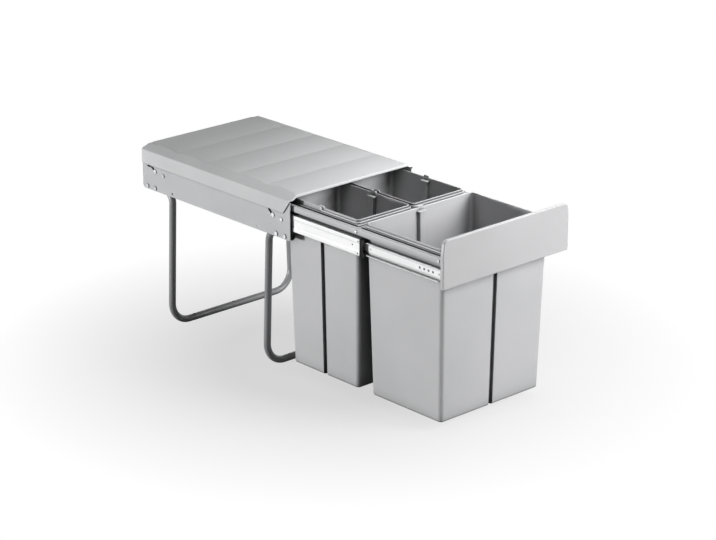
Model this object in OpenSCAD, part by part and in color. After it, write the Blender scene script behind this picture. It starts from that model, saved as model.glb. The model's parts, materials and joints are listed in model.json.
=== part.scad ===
// Pull-out waste bin unit for a kitchen base cabinet, drawn with its drawer pulled out.
// Two bent tube hoops stand on the cabinet floor and carry two side panels. Ball slides on
// the panels carry a drawer of two folded rails, three cross bars and a front panel. Three
// bins hang in the drawer, and a lid stays over the frame when the drawer comes out.
// X runs across the unit, -Y is the front, Z is up. The origin lies on the cabinet floor, at
// the centre of the four floor screws.

/* [Frame] */
// Width over the two side panels
frame_w = 336.6; // [300:0.1:420]
// Thickness of the steel sheet
sheet_t = 1.5; // [1.2:0.1:2]
// Radius of the panel's rear lower corner
panel_corner_r = 8; // [2:1:20]
// Diameter of the spare fixing holes in the panel
spare_hole_d = 4.5; // [3:0.1:6]
// Height of the rear tie strip
tie_h = 31; // [20:1:40]
// Length of the rear tie strip's folds along the panels
tie_fold = 14; // [8:1:20]

/* [Leg hoops] */
// Diameter of the hoop tube
tube_d = 15; // [12:0.5:18]
// Wall of the hoop tube
tube_wall = 1.5; // [1:0.1:2.5]
// Distance from the front edge of the panels to the front floor bar
hoop_setback = 75; // [71:1:95]
// Distance from the rear edge of the panels to the rear floor bar
hoop_rear_setback = 90; // [71:1:110]
// Outward lean of the legs, in degrees
leg_splay = 2.2; // [0.5:0.1:4]
// Bend radius at the foot, on the tube's centre line
foot_bend_r = 45; // [30:1:60]
// Bend radius at the top, on the tube's centre line
arm_bend_r = 25; // [20:1:32]
// Distance from the outer face of a side panel in to the outer floor screws
floor_screw_inset = 58.3; // [54:0.1:80]
// Diameter of the floor screw holes
floor_hole_d = 5; // [4:0.1:7]
// Distance from the end of an arm to the end of the panel
arm_end_gap = 4; // [2:0.5:12]

/* [Slides] */
// Height of the slides' centre line above the floor
slide_z = 333; // [280:1:420]
// Length of each slide member
slide_l = 450; // [445:1:500]
// Height of the outer slide member
slide_h = 45.5; // [44:0.1:50]
// Thickness of the whole slide
slide_t = 12.7; // [12.5:0.1:14]
// Thickness of the slide members' steel
member_t = 1.2; // [1:0.05:1.3]
// How far the drawer is pulled out
travel = 432; // [380:1:440]
// Distance from the front edge of the panel to the slide
slide_setback = 17; // [15.5:0.5:20]
// Distance from the slide to the rear edge of the panel
slide_rear_gap = 13; // [10:0.5:30]
// Diameter of the balls between the outer and the middle member
outer_ball_d = 3.8; // [3.4:0.1:3.9]
// Diameter of the balls between the middle and the inner member
inner_ball_d = 2.9; // [2.6:0.1:3]
// Number of balls in one row
row_balls = 12; // [4:1:14]
// Length of a ball cage
cage_l = 220; // [190:1:225]
// Length of the plastic bumper at the front of the middle member
bumper_l = 14; // [8:1:15]
// Thickness of the spacer between the panel and the slide
spacer_t = 2.9; // [2.8:0.1:4]

/* [Carrier] */
// Thickness of the rail's sheet
rail_t = 1.2; // [1:0.1:1.5]
// Height of the rail's upper band
band_h = 13.5; // [12:0.5:20]
// Distance that the upper band stands out from the slide's inner face
band_out = 9.8; // [8.5:0.1:10]
// Width of the rail's top flange
rail_flange_w = 6.5; // [5:0.1:6.5]
// Height of the rail's lower web
web_h = 42; // [32:1:44]
// Width of the middle cross bar
middle_bar_w = 12.2; // [10:0.1:13]
// Width of the front and rear cross bars
end_bar_w = 7; // [6:0.1:8]

/* [Bins] */
// Draft of the bin walls, in degrees
bin_draft = 1.38; // [0.5:0.01:2.5]
// Thickness of the bin walls
bin_wall = 2.2; // [1.5:0.1:2.6]
// Radius of the bins' upright corners
bin_corner_r = 9; // [5:1:16]
// Height of the bins' rim above their flange
rim_h = 10.5; // [9:0.5:12]
// Height of the handle lugs above the rim
lug_rise = 4; // [2:0.5:6]
// Width of the upright groove in the bin walls
groove_w = 8; // [5:0.5:12]
// Depth of the upright groove in the bin walls
groove_d = 5; // [2:0.5:7]
// Width of the bail handle's bar
bail_w = 2.4; // [1.8:0.1:2.5]
// Height of the bail handle's bar
bail_h = 4; // [2.5:0.1:4.5]

/* [Lid] */
// Thickness of the lid under the valleys of its waves
lid_t = 2.5; // [2:0.1:4]
// Height of the waves on the lid
wave_h = 2.4; // [1:0.1:4]
// Number of waves on the lid
waves = 5; // [3:1:7]
// Slope width of the lid's shoulder
shoulder_w = 19.8; // [14:0.1:26]
// Slope height of the lid's shoulder
shoulder_h = 10; // [8:0.5:11]
// Thickness of the lid's skirt
skirt_t = 1.9; // [1.5:0.1:3]
// Depth of the lid's skirt below the shoulder
skirt_h = 30; // [24:0.5:31]
// Diameter of the guide pins
pin_d = 5; // [4:0.1:6]
// Distance that the pins can travel in their slots
pin_travel = 15; // [8:1:16]
// Rise of the slots, in degrees
slot_rise = 37; // [20:1:40]

/* [Front panel] */
// Distance that the front panel stands out past each side panel
front_overhang = 3.2; // [0:0.1:40]
// Height of the front panel
front_h = 98; // [92:1:140]
// Depth of the front panel's folded edge
front_d = 8; // [6:0.5:9]
// Thickness of the front panel's sheet
front_t = 1.6; // [1.2:0.1:2.5]
// Radius of the front panel's top corners
front_corner_r = 11; // [4:1:20]

/* [Hidden] */
$fn = 48;

panel_grey = [0.70, 0.71, 0.72];
tube_grey = [0.45, 0.46, 0.47];
zinc = [0.86, 0.87, 0.88];
bin_grey = [0.66, 0.67, 0.68];
lid_grey = [0.74, 0.75, 0.76];
plug_black = [0.1, 0.1, 0.1];
steel = [0.62, 0.64, 0.66];

// Clearances between pieces
tube_gap = 0.35;
arm_slide_gap = 0.5;
shelf_gap = 1.25;
seat_gap = 0.2;
hole_gap = 0.1;
ball_gap = 0.12;
cage_gap = 0.15;
cage_end_gap = 4;
lug_side_gap = 0.5;
pin_slot_gap = 0.5;
head_gap = 0.3;
skirt_gap = 0.6;
bin_rail_gap = 5;
bin_floor_gap = 4;
bins_front_gap = 18.8;
bins_between = 22.2;
bins_rear_gap = 11;
bin_pair_gap = 7;
flange_pair_gap = 0.6;
lid_bin_gap = 4;
front_gap = 2;
tie_gap = 3;
tie_drop = 1.5;
screw_tip_gap = 0.5;
cut = 1;

// Lengths that follow from the slides
panel_l = slide_setback + slide_l + slide_rear_gap;
hoop_gap = panel_l - hoop_setback - hoop_rear_setback;
bin_l = (panel_l - bins_front_gap - bins_between - bins_rear_gap) / 2;

// Side panels and slides, measured from the middle of the unit
panel_out_x = frame_w / 2;
panel_in_x = panel_out_x - sheet_t;
slide_out_x = panel_in_x - spacer_t;
slide_in_x = slide_out_x - slide_t;
panel_y0 = -hoop_gap / 2 - hoop_setback;
panel_y1 = panel_y0 + panel_l;
slide_y0 = panel_y0 + slide_setback;
slide_y1 = slide_y0 + slide_l;
slide_top = slide_z + slide_h / 2;
slide_low = slide_z - slide_h / 2;

// Leg hoops
arm_x = panel_in_x - tube_gap - tube_d / 2;
arm_z = slide_low - arm_slide_gap - tube_d / 2;
bar_z = tube_d / 2;
foot_x = arm_x + (arm_z - bar_z) * tan(leg_splay);
hoop_y = hoop_gap / 2;
floor_screw_x = panel_out_x - floor_screw_inset;
panel_z0 = arm_z - tube_d / 2 + 1.2;
bend_thin = 0.05;
bend_lap = 0.3;
bolt_d = 5;
bolt_head_d = 9;
bolt_head_h = 2;
bolt_first = 16;
bolt_second = 42;

// Slide members: p is the depth from the slide's outer face, q the height from its middle
outer_lip_p = 8.4;
outer_lip_drop = 0.9;
outer_ball_p = 4.8;
outer_flange_t = 1.4;
outer_ball_q = slide_h / 2 - outer_flange_t - ball_gap - outer_ball_d / 2;
middle_q = outer_ball_q - outer_ball_d / 2 - ball_gap;
middle_p = 2;
middle_end_p = 10.6;
middle_lip = 1.2;
bead_q = 8;
bead_d = 0.6;
inner_ball_p = 8;
inner_ball_q = middle_q - member_t - ball_gap - inner_ball_d / 2;
inner_q = inner_ball_q - inner_ball_d / 2 - ball_gap;
inner_p = 5.2;
inner_lip = 0.8;
cage_t = 0.5;
cage_margin = 8;
outer_cage_p = 7;
inner_cage_p = 10;
middle_out = travel / 2;
outer_cage_y = slide_y0 + cage_end_gap;
inner_cage_y = slide_y0 - middle_out + cage_end_gap;
ball_pitch = (cage_l - 2 * cage_margin) / (row_balls - 1);

// Slide fixings
slide_screw_d = 4;
slide_screw_head_d = 7;
slide_screw_rise = 3;
slide_screw_front = 9;
slide_screw_rear = 58;
spacer_d = 13;
screw_head_h = 1.7;
small_head_d = 6;

// Carrier rail, drawn closed and then pulled out by the travel
web_x = slide_in_x - rail_t;
band_x = slide_in_x + band_out;
shelf_z = slide_top + shelf_gap;
rail_top = shelf_z + band_h;
bar_top = rail_top - 0.5;
web_z0 = shelf_z + rail_t - web_h;
rail_y0 = panel_y0 - front_gap + front_d - 6;
rail_y1 = panel_y1 - 5.5;

// Bins
bin_x = web_x - bin_rail_gap;
bin_pitch = bin_l + bins_between;
rear_bins_y = panel_y1 - bins_rear_gap - bin_l / 2;
front_bin_y = rear_bins_y - bin_pitch;
bin_z0 = tube_d + bin_floor_gap;
bin_depth = bar_top - bin_z0;
flange_t = 2;
rim_top = bar_top + flange_t + rim_h - 2;
side_flange = bin_rail_gap - 0.5;
end_flange = 8.8;
inner_flange = (bin_pair_gap - flange_pair_gap) / 2;
half_bin_w = bin_x - bin_pair_gap / 2;
half_bin_x = (bin_x + bin_pair_gap / 2) / 2;
lug_l = 16;
lug_top = rim_top + lug_rise;
bail_gap = 0.35;
bail_z = bar_top + flange_t + seat_gap;
pivot_d = 3.6;
pivot_z = bar_top + flange_t + 6;
ear_d = 8;

// Cross bars under the bins' flanges
middle_bar_y = (rear_bins_y + front_bin_y) / 2;
rear_bar_y = rear_bins_y + bin_l / 2 + 1.6 + end_bar_w / 2;
front_bar_y = front_bin_y - bin_l / 2 - 1.6 - end_bar_w / 2;
bar_end_x = band_x - rail_t - seat_gap;
bar_tab_top = rail_top - rail_t - 0.5;

// Lid
lid_under = lug_top + lid_bin_gap;
lid_valley = lid_under + lid_t;
skirt_in_x = panel_out_x + skirt_gap;
skirt_out_x = skirt_in_x + skirt_t;
shoulder_x = skirt_out_x - shoulder_w;
shoulder_top = lid_valley + 1;
shoulder_z = shoulder_top - shoulder_h;
skirt_z0 = shoulder_z - skirt_h;
lid_y0 = panel_y0 - 3;
lid_y1 = panel_y1 + 3;
lid_rear_t = 2;
lip_h = 5.5;
lip_t = 3;
wave_l = (lid_y1 - 8 - lid_y0) / waves;
panel_z1 = shoulder_z - skirt_t - 2;
lug_t = panel_in_x - slide_out_x - 2 * lug_side_gap;
lid_lug_w = 12;
pin_head_d = 9;
pin_head_h = 1.2;
front_pin_y = panel_y0 + 52;
rear_pin_y = panel_y1 - 43;
pin_z = slide_z + 6.8;
slot_dwell = 14;

// Front panel and its brackets, drawn closed
front_w = frame_w + 2 * front_overhang;
front_y0 = panel_y0 - front_gap - front_d;
front_z0 = slide_z - 20;
front_kink_z = front_z0 + front_h - 29;
front_taper = 3;
boss_d = 10;
boss_l = 4.5;
boss_inset = 18;
boss_x = web_x - boss_inset;
bracket_y = front_y0 + front_t + boss_l;
bracket_t = 1.2;
bracket_z0 = slide_z - 15;
bracket_z1 = slide_z + 23;
bracket_l = 20;

// Unit vector along v
function unit(v) = v / norm(v);

// Arc that rounds the corner b between a and c with radius r, in n steps
function corner_arc(a, b, c, r, n) =
  let (u = unit(a - b), v = unit(c - b), half = acos(u * v) / 2)
  let (centre = b + unit(u + v) * r / sin(half), start = b + u * r / tan(half) - centre)
  let (turn = (cross(b - a, c - b) > 0 ? 1 : -1) * (180 - 2 * half))
  let (first = atan2(start.y, start.x))
  [for (i = [0 : n]) centre + r * [cos(first + turn * i / n), sin(first + turn * i / n)]];

// Outline through the points [x, y, radius], each corner rounded by its radius
function rounded(path) =
  let (n = len(path))
  [for (i = [0 : n - 1])
    let (a = path[(i + n - 1) % n], b = path[i], c = path[(i + 1) % n])
    each (b.z == 0 ? [[b.x, b.y]]
      : corner_arc([a.x, a.y], [b.x, b.y], [c.x, c.y], b.z, 6))];

// Outline of a section whose upper half has these points and whose lower half mirrors them
function symmetric(half) =
  concat(half, [for (i = [len(half) - 1 : -1 : 0]) [half[i].x, -half[i].y]]);

// Rounded rectangle with its centre at the origin
module plate_2d(w, l, r) {
  polygon(rounded([[w / 2, l / 2, r], [-w / 2, l / 2, r], [-w / 2, -l / 2, r], [w / 2, -l / 2, r]]));
}

// Carries a flat shape in X and Z along Y
module along_y(y0, y1) {
  translate([0, y1, 0]) rotate([90, 0, 0]) linear_extrude(y1 - y0) children();
}

// Carries a flat shape in Y and Z along X
module along_x(x0, x1) {
  translate([x0, 0, 0]) rotate([90, 0, 90]) linear_extrude(x1 - x0) children();
}

// Both sides of the unit
module both_sides() {
  children();
  mirror([1, 0, 0]) children();
}

// The pulled-out place of a piece that is drawn closed
module pulled(distance) {
  translate([0, -distance, 0]) children();
}

// Round pin along X from x0 to x1
module pin_x(x0, x1, y, z, d) {
  translate([x0, y, z]) rotate([0, 90, 0]) cylinder(h = x1 - x0, d = d);
}

// Slot from point a to point b in a flat shape
module slot_2d(a, b, w) {
  translate(a) circle(d = w);
  translate(b) circle(d = w);
  polygon([for (s = [[a, 1], [a, -1], [b, -1], [b, 1]])
    s[0] + s[1] * w / 2 * [-unit(b - a).y, unit(b - a).x]]);
}

// Far end of a guide slot that starts at y
function slot_end(y) = [y, pin_z] + pin_travel * [cos(slot_rise), sin(slot_rise)];

// Places of the slide's screws along Y
slide_screw_ys = [slide_y0 + slide_screw_front, slide_y1 - slide_screw_rear];

// Places of the hoop's bolts along Y
hoop_bolt_ys = [
  panel_y0 + bolt_first, panel_y0 + bolt_second, panel_y1 - bolt_second, panel_y1 - bolt_first
];

// Side panel of plain sheet on the right, with its two guide slots and its holes
module side_panel() {
  slot_w = pin_d + 2 * pin_slot_gap;
  color(panel_grey) along_x(panel_in_x, panel_out_x) difference() {
    polygon(rounded([
      [panel_y0, panel_z0, 2], [panel_y1, panel_z0, panel_corner_r],
      [panel_y1, panel_z1, 2], [panel_y0, panel_z1, 2]
    ]));
    slot_2d([front_pin_y, pin_z], slot_end(front_pin_y), slot_w);
    slot_2d([rear_pin_y, pin_z], slot_end(rear_pin_y), slot_w);
    slot_2d(slot_end(rear_pin_y), slot_end(rear_pin_y) + [slot_dwell, 0], slot_w);
    for (y = slide_screw_ys)
      translate([y, slide_z + slide_screw_rise]) circle(d = slide_screw_d + 2 * hole_gap);
    for (y = hoop_bolt_ys) translate([y, arm_z]) circle(d = bolt_d + 2 * hole_gap);
    for (y = [panel_y0 + 101, panel_y1 - 100]) translate([y, arm_z + 1.7]) circle(d = spare_hole_d);
  }
}

module right_side_panel() {
  side_panel();
}

module left_side_panel() {
  mirror([1, 0, 0]) side_panel();
}

// Strip across the back, folded forward along each panel
module rear_tie_strip() {
  y1 = panel_y1 - tie_gap;
  z0 = slide_low + tie_drop;
  color(panel_grey) difference() {
    translate([-panel_in_x, y1 - tie_fold, z0]) cube([2 * panel_in_x, tie_fold, tie_h]);
    translate([-panel_in_x + sheet_t, y1 - tie_fold - cut, z0 - cut])
      cube([2 * (panel_in_x - sheet_t), tie_fold - sheet_t + cut, tie_h + 2 * cut]);
  }
}

// Ring section of the tube, its wall thinned by thin on either face, as a bend thins it
module tube_2d(thin = 0) {
  difference() {
    circle(d = tube_d - 2 * thin);
    circle(d = tube_d - 2 * tube_wall + 2 * thin);
  }
}

// One leg of a hoop on the right, from the middle of the floor bar to the end of its arm.
// The arm, its bend and the leg lie in one plane that leans outward by the splay.
module half_hoop(arm_l) {
  bolt_ys = [arm_l + arm_end_gap - bolt_first, arm_l + arm_end_gap - bolt_second];
  corner_l = (arm_z - bar_z) / cos(leg_splay);
  foot_turn = 90 + leg_splay;
  foot_cut = foot_bend_r * tan(foot_turn / 2);
  difference() {
    translate([0, 0, bar_z]) rotate([0, 90, 0])
      linear_extrude(foot_x - foot_cut + bend_lap) tube_2d();
    for (x = [0, floor_screw_x])
      translate([x, 0, -cut]) cylinder(h = tube_d + 2 * cut, d = floor_hole_d);
  }
  translate([foot_x - foot_cut, 0, bar_z + foot_bend_r]) rotate([90, 0, 0]) rotate([0, 0, -90])
    rotate_extrude(angle = foot_turn) translate([foot_bend_r, 0]) tube_2d(bend_thin);
  translate([arm_x, 0, arm_z]) rotate([0, -leg_splay, 0]) {
    translate([0, 0, -corner_l + foot_cut - bend_lap])
      linear_extrude(corner_l - foot_cut - arm_bend_r + 2 * bend_lap) tube_2d();
    translate([0, arm_bend_r, -arm_bend_r]) rotate([0, -90, 0]) rotate([0, 0, -90])
      rotate_extrude(angle = 90) translate([arm_bend_r, 0]) tube_2d(bend_thin);
    difference() {
      translate([0, arm_bend_r - bend_lap, 0]) rotate([-90, 0, 0])
        linear_extrude(arm_l - arm_bend_r + bend_lap) tube_2d();
      rotate([0, leg_splay, 0]) for (y = bolt_ys)
        pin_x(-tube_d, tube_d, y, 0, bolt_d + 2 * hole_gap);
    }
  }
}

module leg_hoop(arm_l) {
  color(tube_grey) both_sides() half_hoop(arm_l);
}

module rear_leg_hoop() {
  translate([0, hoop_y, 0]) leg_hoop(panel_y1 - arm_end_gap - hoop_y);
}

module front_leg_hoop() {
  translate([0, -hoop_y, 0]) mirror([0, 1, 0]) leg_hoop(-hoop_y - panel_y0 - arm_end_gap);
}

// Plug with a domed rim in the open end of an arm, its inner end at the origin
module end_plug() {
  core_r = tube_d / 2 - tube_wall - 0.05;
  rotate([-90, 0, 0]) rotate_extrude()
    polygon([[0, -6], [core_r, -6], [core_r, 0], [tube_d / 2 - 0.3, 0], [tube_d / 2 - 0.3, 1.2],
      [tube_d / 2 - 1.2, 2], [0, 2]]);
}

module hoop_end_plugs() {
  color(plug_black) both_sides() {
    translate([arm_x, panel_y1 - arm_end_gap, arm_z]) end_plug();
    translate([arm_x, panel_y0 + arm_end_gap, arm_z]) mirror([0, 1, 0]) end_plug();
  }
}

// Bolts through the panels and the arms
module hoop_bolts() {
  color(zinc) both_sides() for (y = hoop_bolt_ys) {
    pin_x(arm_x - tube_d / 2 - 1.5, panel_out_x + cut / 2, y, arm_z, bolt_d);
    pin_x(panel_out_x, panel_out_x + bolt_head_h, y, arm_z, bolt_head_d);
  }
}

// Section of the outer slide member, open towards the middle of the unit
module outer_section() {
  q = slide_h / 2;
  roof = q - outer_flange_t;
  polygon(symmetric([
    [0, q], [outer_lip_p, q], [outer_lip_p, roof - outer_lip_drop],
    [outer_lip_p - member_t, roof - outer_lip_drop], [outer_lip_p - member_t, roof],
    [member_t, roof]
  ]));
}

// Section of the middle slide member, its web towards the panel
module middle_section() {
  q = middle_q;
  t = member_t;
  polygon(symmetric([
    [middle_p + bead_d, bead_q], [middle_p, bead_q + 1], [middle_p, q],
    [middle_end_p - t, q], [middle_end_p - t, q + middle_lip], [middle_end_p, q + middle_lip],
    [middle_end_p, q - t], [middle_p + t, q - t], [middle_p + t, bead_q + 1],
    [middle_p + bead_d + t, bead_q]
  ]));
}

// Section of the inner slide member, its web against the rail
module inner_section() {
  q = inner_q;
  t = member_t;
  polygon(symmetric([
    [slide_t, q], [inner_p + t, q], [inner_p + t, q + inner_lip],
    [inner_p, q + inner_lip], [inner_p, q - t], [slide_t - t, q - t]
  ]));
}

// Carries a slide section, drawn as depth and height, along the right slide
module slide_along(y0, y1) {
  translate([slide_out_x, 0, slide_z]) along_y(y0, y1) mirror([1, 0]) children();
}

module outer_slide() {
  color(zinc) difference() {
    slide_along(slide_y0, slide_y1) outer_section();
    for (y = slide_screw_ys) pin_x(slide_out_x - 3, slide_out_x + cut, y,
      slide_z + slide_screw_rise, slide_screw_d + 2 * hole_gap);
  }
}

module right_outer_slide() {
  outer_slide();
}

module left_outer_slide() {
  mirror([1, 0, 0]) outer_slide();
}

// Screws through panel, spacer and outer slide member
module slide_screws() {
  color(zinc) both_sides() for (y = slide_screw_ys) {
    z = slide_z + slide_screw_rise;
    pin_x(slide_out_x - member_t, panel_out_x + cut / 2, y, z, slide_screw_d);
    pin_x(panel_out_x, panel_out_x + screw_head_h, y, z, slide_screw_head_d);
  }
}

// Rings that hold the slides off the panels, which leaves room for the lid's lugs
module slide_spacers() {
  color(steel) both_sides() for (y = slide_screw_ys) difference() {
    z = slide_z + slide_screw_rise;
    pin_x(slide_out_x, panel_in_x, y, z, spacer_d);
    pin_x(slide_out_x - cut, panel_in_x + cut, y, z, slide_screw_d + 2 * hole_gap);
  }
}

// Places of the holes at the front of the middle member, from its front end and middle
middle_holes = [[4, 12], [21, 1.5], [5.5, -13]];
middle_hole_d = 3;

module middle_slide() {
  color(zinc) pulled(middle_out) difference() {
    slide_along(slide_y0, slide_y1) middle_section();
    for (h = middle_holes)
      pin_x(slide_in_x, slide_out_x, slide_y0 + h.x, slide_z + h.y, middle_hole_d);
  }
}

module right_middle_slide() {
  middle_slide();
}

module left_middle_slide() {
  mirror([1, 0, 0]) middle_slide();
}

// Bumper that closes the front of the middle member round the inner one
module slide_bumper() {
  q = middle_q + middle_lip;
  inner = inner_q + inner_lip + 0.4;
  color(plug_black) pulled(middle_out) slide_along(slide_y0 - bumper_l, slide_y0) polygon([
    [middle_p, -q], [middle_end_p, -q], [middle_end_p, -inner], [inner_p - 0.6, -inner],
    [inner_p - 0.6, inner], [middle_end_p, inner], [middle_end_p, q], [middle_p, q]
  ]);
}

module right_slide_bumper() {
  slide_bumper();
}

module left_slide_bumper() {
  mirror([1, 0, 0]) slide_bumper();
}

// Places of the balls in a row, from the front end of the cage
function ball_y(i) = cage_margin + i * ball_pitch;

// Folded strip that holds two rows of balls: its front end at y0, its web at p0, and its
// flanges to p1 at the height q
module ball_cage(y0, p0, p1, q, ball_p, ball_d) {
  color(steel) difference() {
    slide_along(y0, y0 + cage_l) difference() {
      translate([p0, -q - cage_t / 2]) square([p1 - p0, 2 * q + cage_t]);
      translate([p0 + cage_t, -q + cage_t / 2]) square([p1 - p0, 2 * q - cage_t]);
    }
    for (i = [0 : row_balls - 1])
      translate([slide_out_x - ball_p, y0 + ball_y(i), slide_z - q - cut])
        cylinder(h = 2 * (q + cut), d = ball_d + 2 * cage_gap);
  }
}

// Two rows of balls in a cage whose front end is at y0
module balls(y0, q, ball_p, ball_d) {
  color(steel) for (i = [0 : row_balls - 1], s = [-1, 1])
    translate([slide_out_x - ball_p, y0 + ball_y(i), slide_z + s * q])
      sphere(d = ball_d);
}

module right_outer_cage() {
  p0 = member_t + cage_gap;
  ball_cage(outer_cage_y, p0, outer_cage_p, outer_ball_q, outer_ball_p, outer_ball_d);
}

module left_outer_cage() {
  mirror([1, 0, 0]) right_outer_cage();
}

module right_outer_balls() {
  balls(outer_cage_y, outer_ball_q, outer_ball_p, outer_ball_d);
}

module left_outer_balls() {
  mirror([1, 0, 0]) right_outer_balls();
}

module right_inner_cage() {
  p0 = middle_p + bead_d + member_t + cage_gap;
  ball_cage(inner_cage_y, p0, inner_cage_p, inner_ball_q, inner_ball_p, inner_ball_d);
}

module left_inner_cage() {
  mirror([1, 0, 0]) right_inner_cage();
}

module right_inner_balls() {
  balls(inner_cage_y, inner_ball_q, inner_ball_p, inner_ball_d);
}

module left_inner_balls() {
  mirror([1, 0, 0]) right_inner_balls();
}

// Holes in the inner member's web, from its front end
inner_hole_ys = [3.5, 20, 32, 44, 56, 194.4, 430];
inner_hole_d = 4.2;
// Those that hold the screws to the rail
inner_screw_ys = [3.5, 194.4, 430];

module inner_slide() {
  color(zinc) pulled(travel) difference() {
    slide_along(slide_y0, slide_y1) inner_section();
    for (y = inner_hole_ys)
      pin_x(slide_in_x - cut, slide_in_x + 3, slide_y0 + y, slide_z, inner_hole_d);
  }
}

module right_inner_slide() {
  inner_slide();
}

module left_inner_slide() {
  mirror([1, 0, 0]) inner_slide();
}

// Folded section of the rail: lower web, shelf, upper band, top flange and its lip
module rail_section() {
  t = rail_t;
  polygon([
    [web_x, web_z0], [web_x + t, web_z0], [web_x + t, shelf_z], [band_x, shelf_z],
    [band_x, rail_top], [band_x - rail_flange_w, rail_top],
    [band_x - rail_flange_w, rail_top - t], [band_x - t, rail_top - t],
    [band_x - t, shelf_z + t], [web_x, shelf_z + t]
  ]);
}

bar_ys = [front_bar_y, middle_bar_y, rear_bar_y];
bar_screw_z = (shelf_z + rail_t + bar_tab_top) / 2;
bar_screw_d = 3.5;
bracket_screw_y = rail_y0 + 8;
bracket_screw_zs = [slide_z - 6, slide_z + 12];

module carrier_rail() {
  color(panel_grey) pulled(travel) difference() {
    along_y(rail_y0, rail_y1) rail_section();
    for (y = inner_screw_ys)
      pin_x(web_x - cut, web_x + rail_t + cut, slide_y0 + y, slide_z, inner_hole_d);
    for (y = bar_ys)
      pin_x(band_x - rail_t - cut, band_x + cut, y, bar_screw_z, bar_screw_d + 2 * hole_gap);
    for (z = bracket_screw_zs)
      pin_x(web_x - cut, web_x + rail_t + cut, bracket_screw_y, z, bar_screw_d + 2 * hole_gap);
  }
}

module right_carrier_rail() {
  carrier_rail();
}

module left_carrier_rail() {
  mirror([1, 0, 0]) carrier_rail();
}

// Cross bar of folded sheet, open below, with a tab at each end that stands in the rail
module cross_bar(y, w) {
  t = rail_t;
  z0 = shelf_z + t;
  top_x = band_x - rail_flange_w - 1;
  color(panel_grey) pulled(travel) difference() {
    union() {
      translate([-top_x, y - w / 2, z0]) cube([2 * top_x, w, bar_top - z0]);
      translate([-bar_end_x, y - w / 2, z0]) cube([2 * bar_end_x, w, bar_tab_top - z0]);
    }
    translate([-bar_end_x + t, y - w / 2 + t, z0 - cut])
      cube([2 * (bar_end_x - t), w - 2 * t, bar_tab_top - t - z0 + cut]);
    pin_x(-bar_end_x - cut, bar_end_x + cut, y, bar_screw_z, bar_screw_d + 2 * hole_gap);
  }
}

module front_cross_bar() {
  cross_bar(front_bar_y, end_bar_w);
}

module middle_cross_bar() {
  cross_bar(middle_bar_y, middle_bar_w);
}

module rear_cross_bar() {
  cross_bar(rear_bar_y, end_bar_w);
}

// Screws of the cross bars, the inner slides and the panel brackets
module carrier_screws() {
  color(zinc) pulled(travel) both_sides() {
    for (y = bar_ys) {
      pin_x(bar_end_x - rail_t, band_x + cut / 2, y, bar_screw_z, bar_screw_d);
      pin_x(band_x, band_x + screw_head_h, y, bar_screw_z, small_head_d);
    }
    for (y = inner_screw_ys) {
      pin_x(web_x - cut / 2, slide_in_x + member_t, slide_y0 + y, slide_z, slide_screw_d);
      pin_x(web_x - screw_head_h, web_x, slide_y0 + y, slide_z, slide_screw_head_d);
    }
    for (z = bracket_screw_zs) {
      pin_x(web_x - bracket_t - cut / 2, web_x + rail_t, bracket_screw_y, z, bar_screw_d);
      pin_x(web_x - bracket_t - screw_head_h, web_x - bracket_t, bracket_screw_y, z,
        small_head_d);
    }
  }
}

// Outline of the front panel, drawn in by inset
module front_outline(inset) {
  x = front_w / 2 - inset;
  polygon(rounded([
    [-x, front_z0 + inset, 1], [x, front_z0 + inset, 1], [x, front_kink_z, 0],
    [x - front_taper, front_z0 + front_h - inset, front_corner_r - inset],
    [-x + front_taper, front_z0 + front_h - inset, front_corner_r - inset], [-x, front_kink_z, 0]
  ]));
}

boss_zs = [bracket_z0 + 7, bracket_z1 - 7];
boss_hole_d = 3.2;

// Front panel with a folded edge all round and four bosses at its back
module front_panel() {
  color(panel_grey) pulled(travel) {
    difference() {
      along_y(front_y0, front_y0 + front_d) front_outline(0);
      along_y(front_y0 + front_t, front_y0 + front_d + cut) front_outline(front_t);
    }
    both_sides() for (z = boss_zs) along_y(front_y0 + front_t, bracket_y) difference() {
      translate([boss_x, z]) circle(d = boss_d);
      translate([boss_x, z]) circle(d = boss_hole_d);
    }
  }
}

// Angle between the rail's web and the front panel's bosses
module panel_bracket() {
  plate_x0 = boss_x - boss_d;
  color(steel) pulled(travel) difference() {
    union() {
      translate([plate_x0, bracket_y, bracket_z0])
        cube([web_x - plate_x0, bracket_t, bracket_z1 - bracket_z0]);
      translate([web_x - bracket_t, bracket_y, bracket_z0])
        cube([bracket_t, bracket_l, bracket_z1 - bracket_z0]);
    }
    for (z = boss_zs) along_y(bracket_y - cut, bracket_y + bracket_t + cut)
      translate([boss_x, z]) circle(d = bar_screw_d + 2 * hole_gap);
    for (z = bracket_screw_zs)
      pin_x(web_x - bracket_t - cut, web_x + cut, bracket_screw_y, z, bar_screw_d + 2 * hole_gap);
  }
}

module right_panel_bracket() {
  panel_bracket();
}

module left_panel_bracket() {
  mirror([1, 0, 0]) panel_bracket();
}

// Screws from behind into the front panel's bosses
module panel_screws() {
  y1 = bracket_y + bracket_t;
  color(zinc) pulled(travel) both_sides() for (z = boss_zs) {
    along_y(bracket_y - boss_l + screw_tip_gap, y1 + cut / 2) translate([boss_x, z])
      circle(d = boss_hole_d - 2 * hole_gap);
    along_y(y1, y1 + screw_head_h) translate([boss_x, z]) circle(d = small_head_d);
  }
}

// Tapered body of a bin: its rim is w by l at height 0, and it reaches depth below
module bin_body(w, l, depth, r) {
  in = 2 * depth * tan(bin_draft);
  hull() {
    translate([0, 0, -0.01]) linear_extrude(0.01) plate_2d(w, l, r);
    translate([0, 0, -depth]) linear_extrude(0.01) plate_2d(w - in, l - in, r);
  }
}

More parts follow.
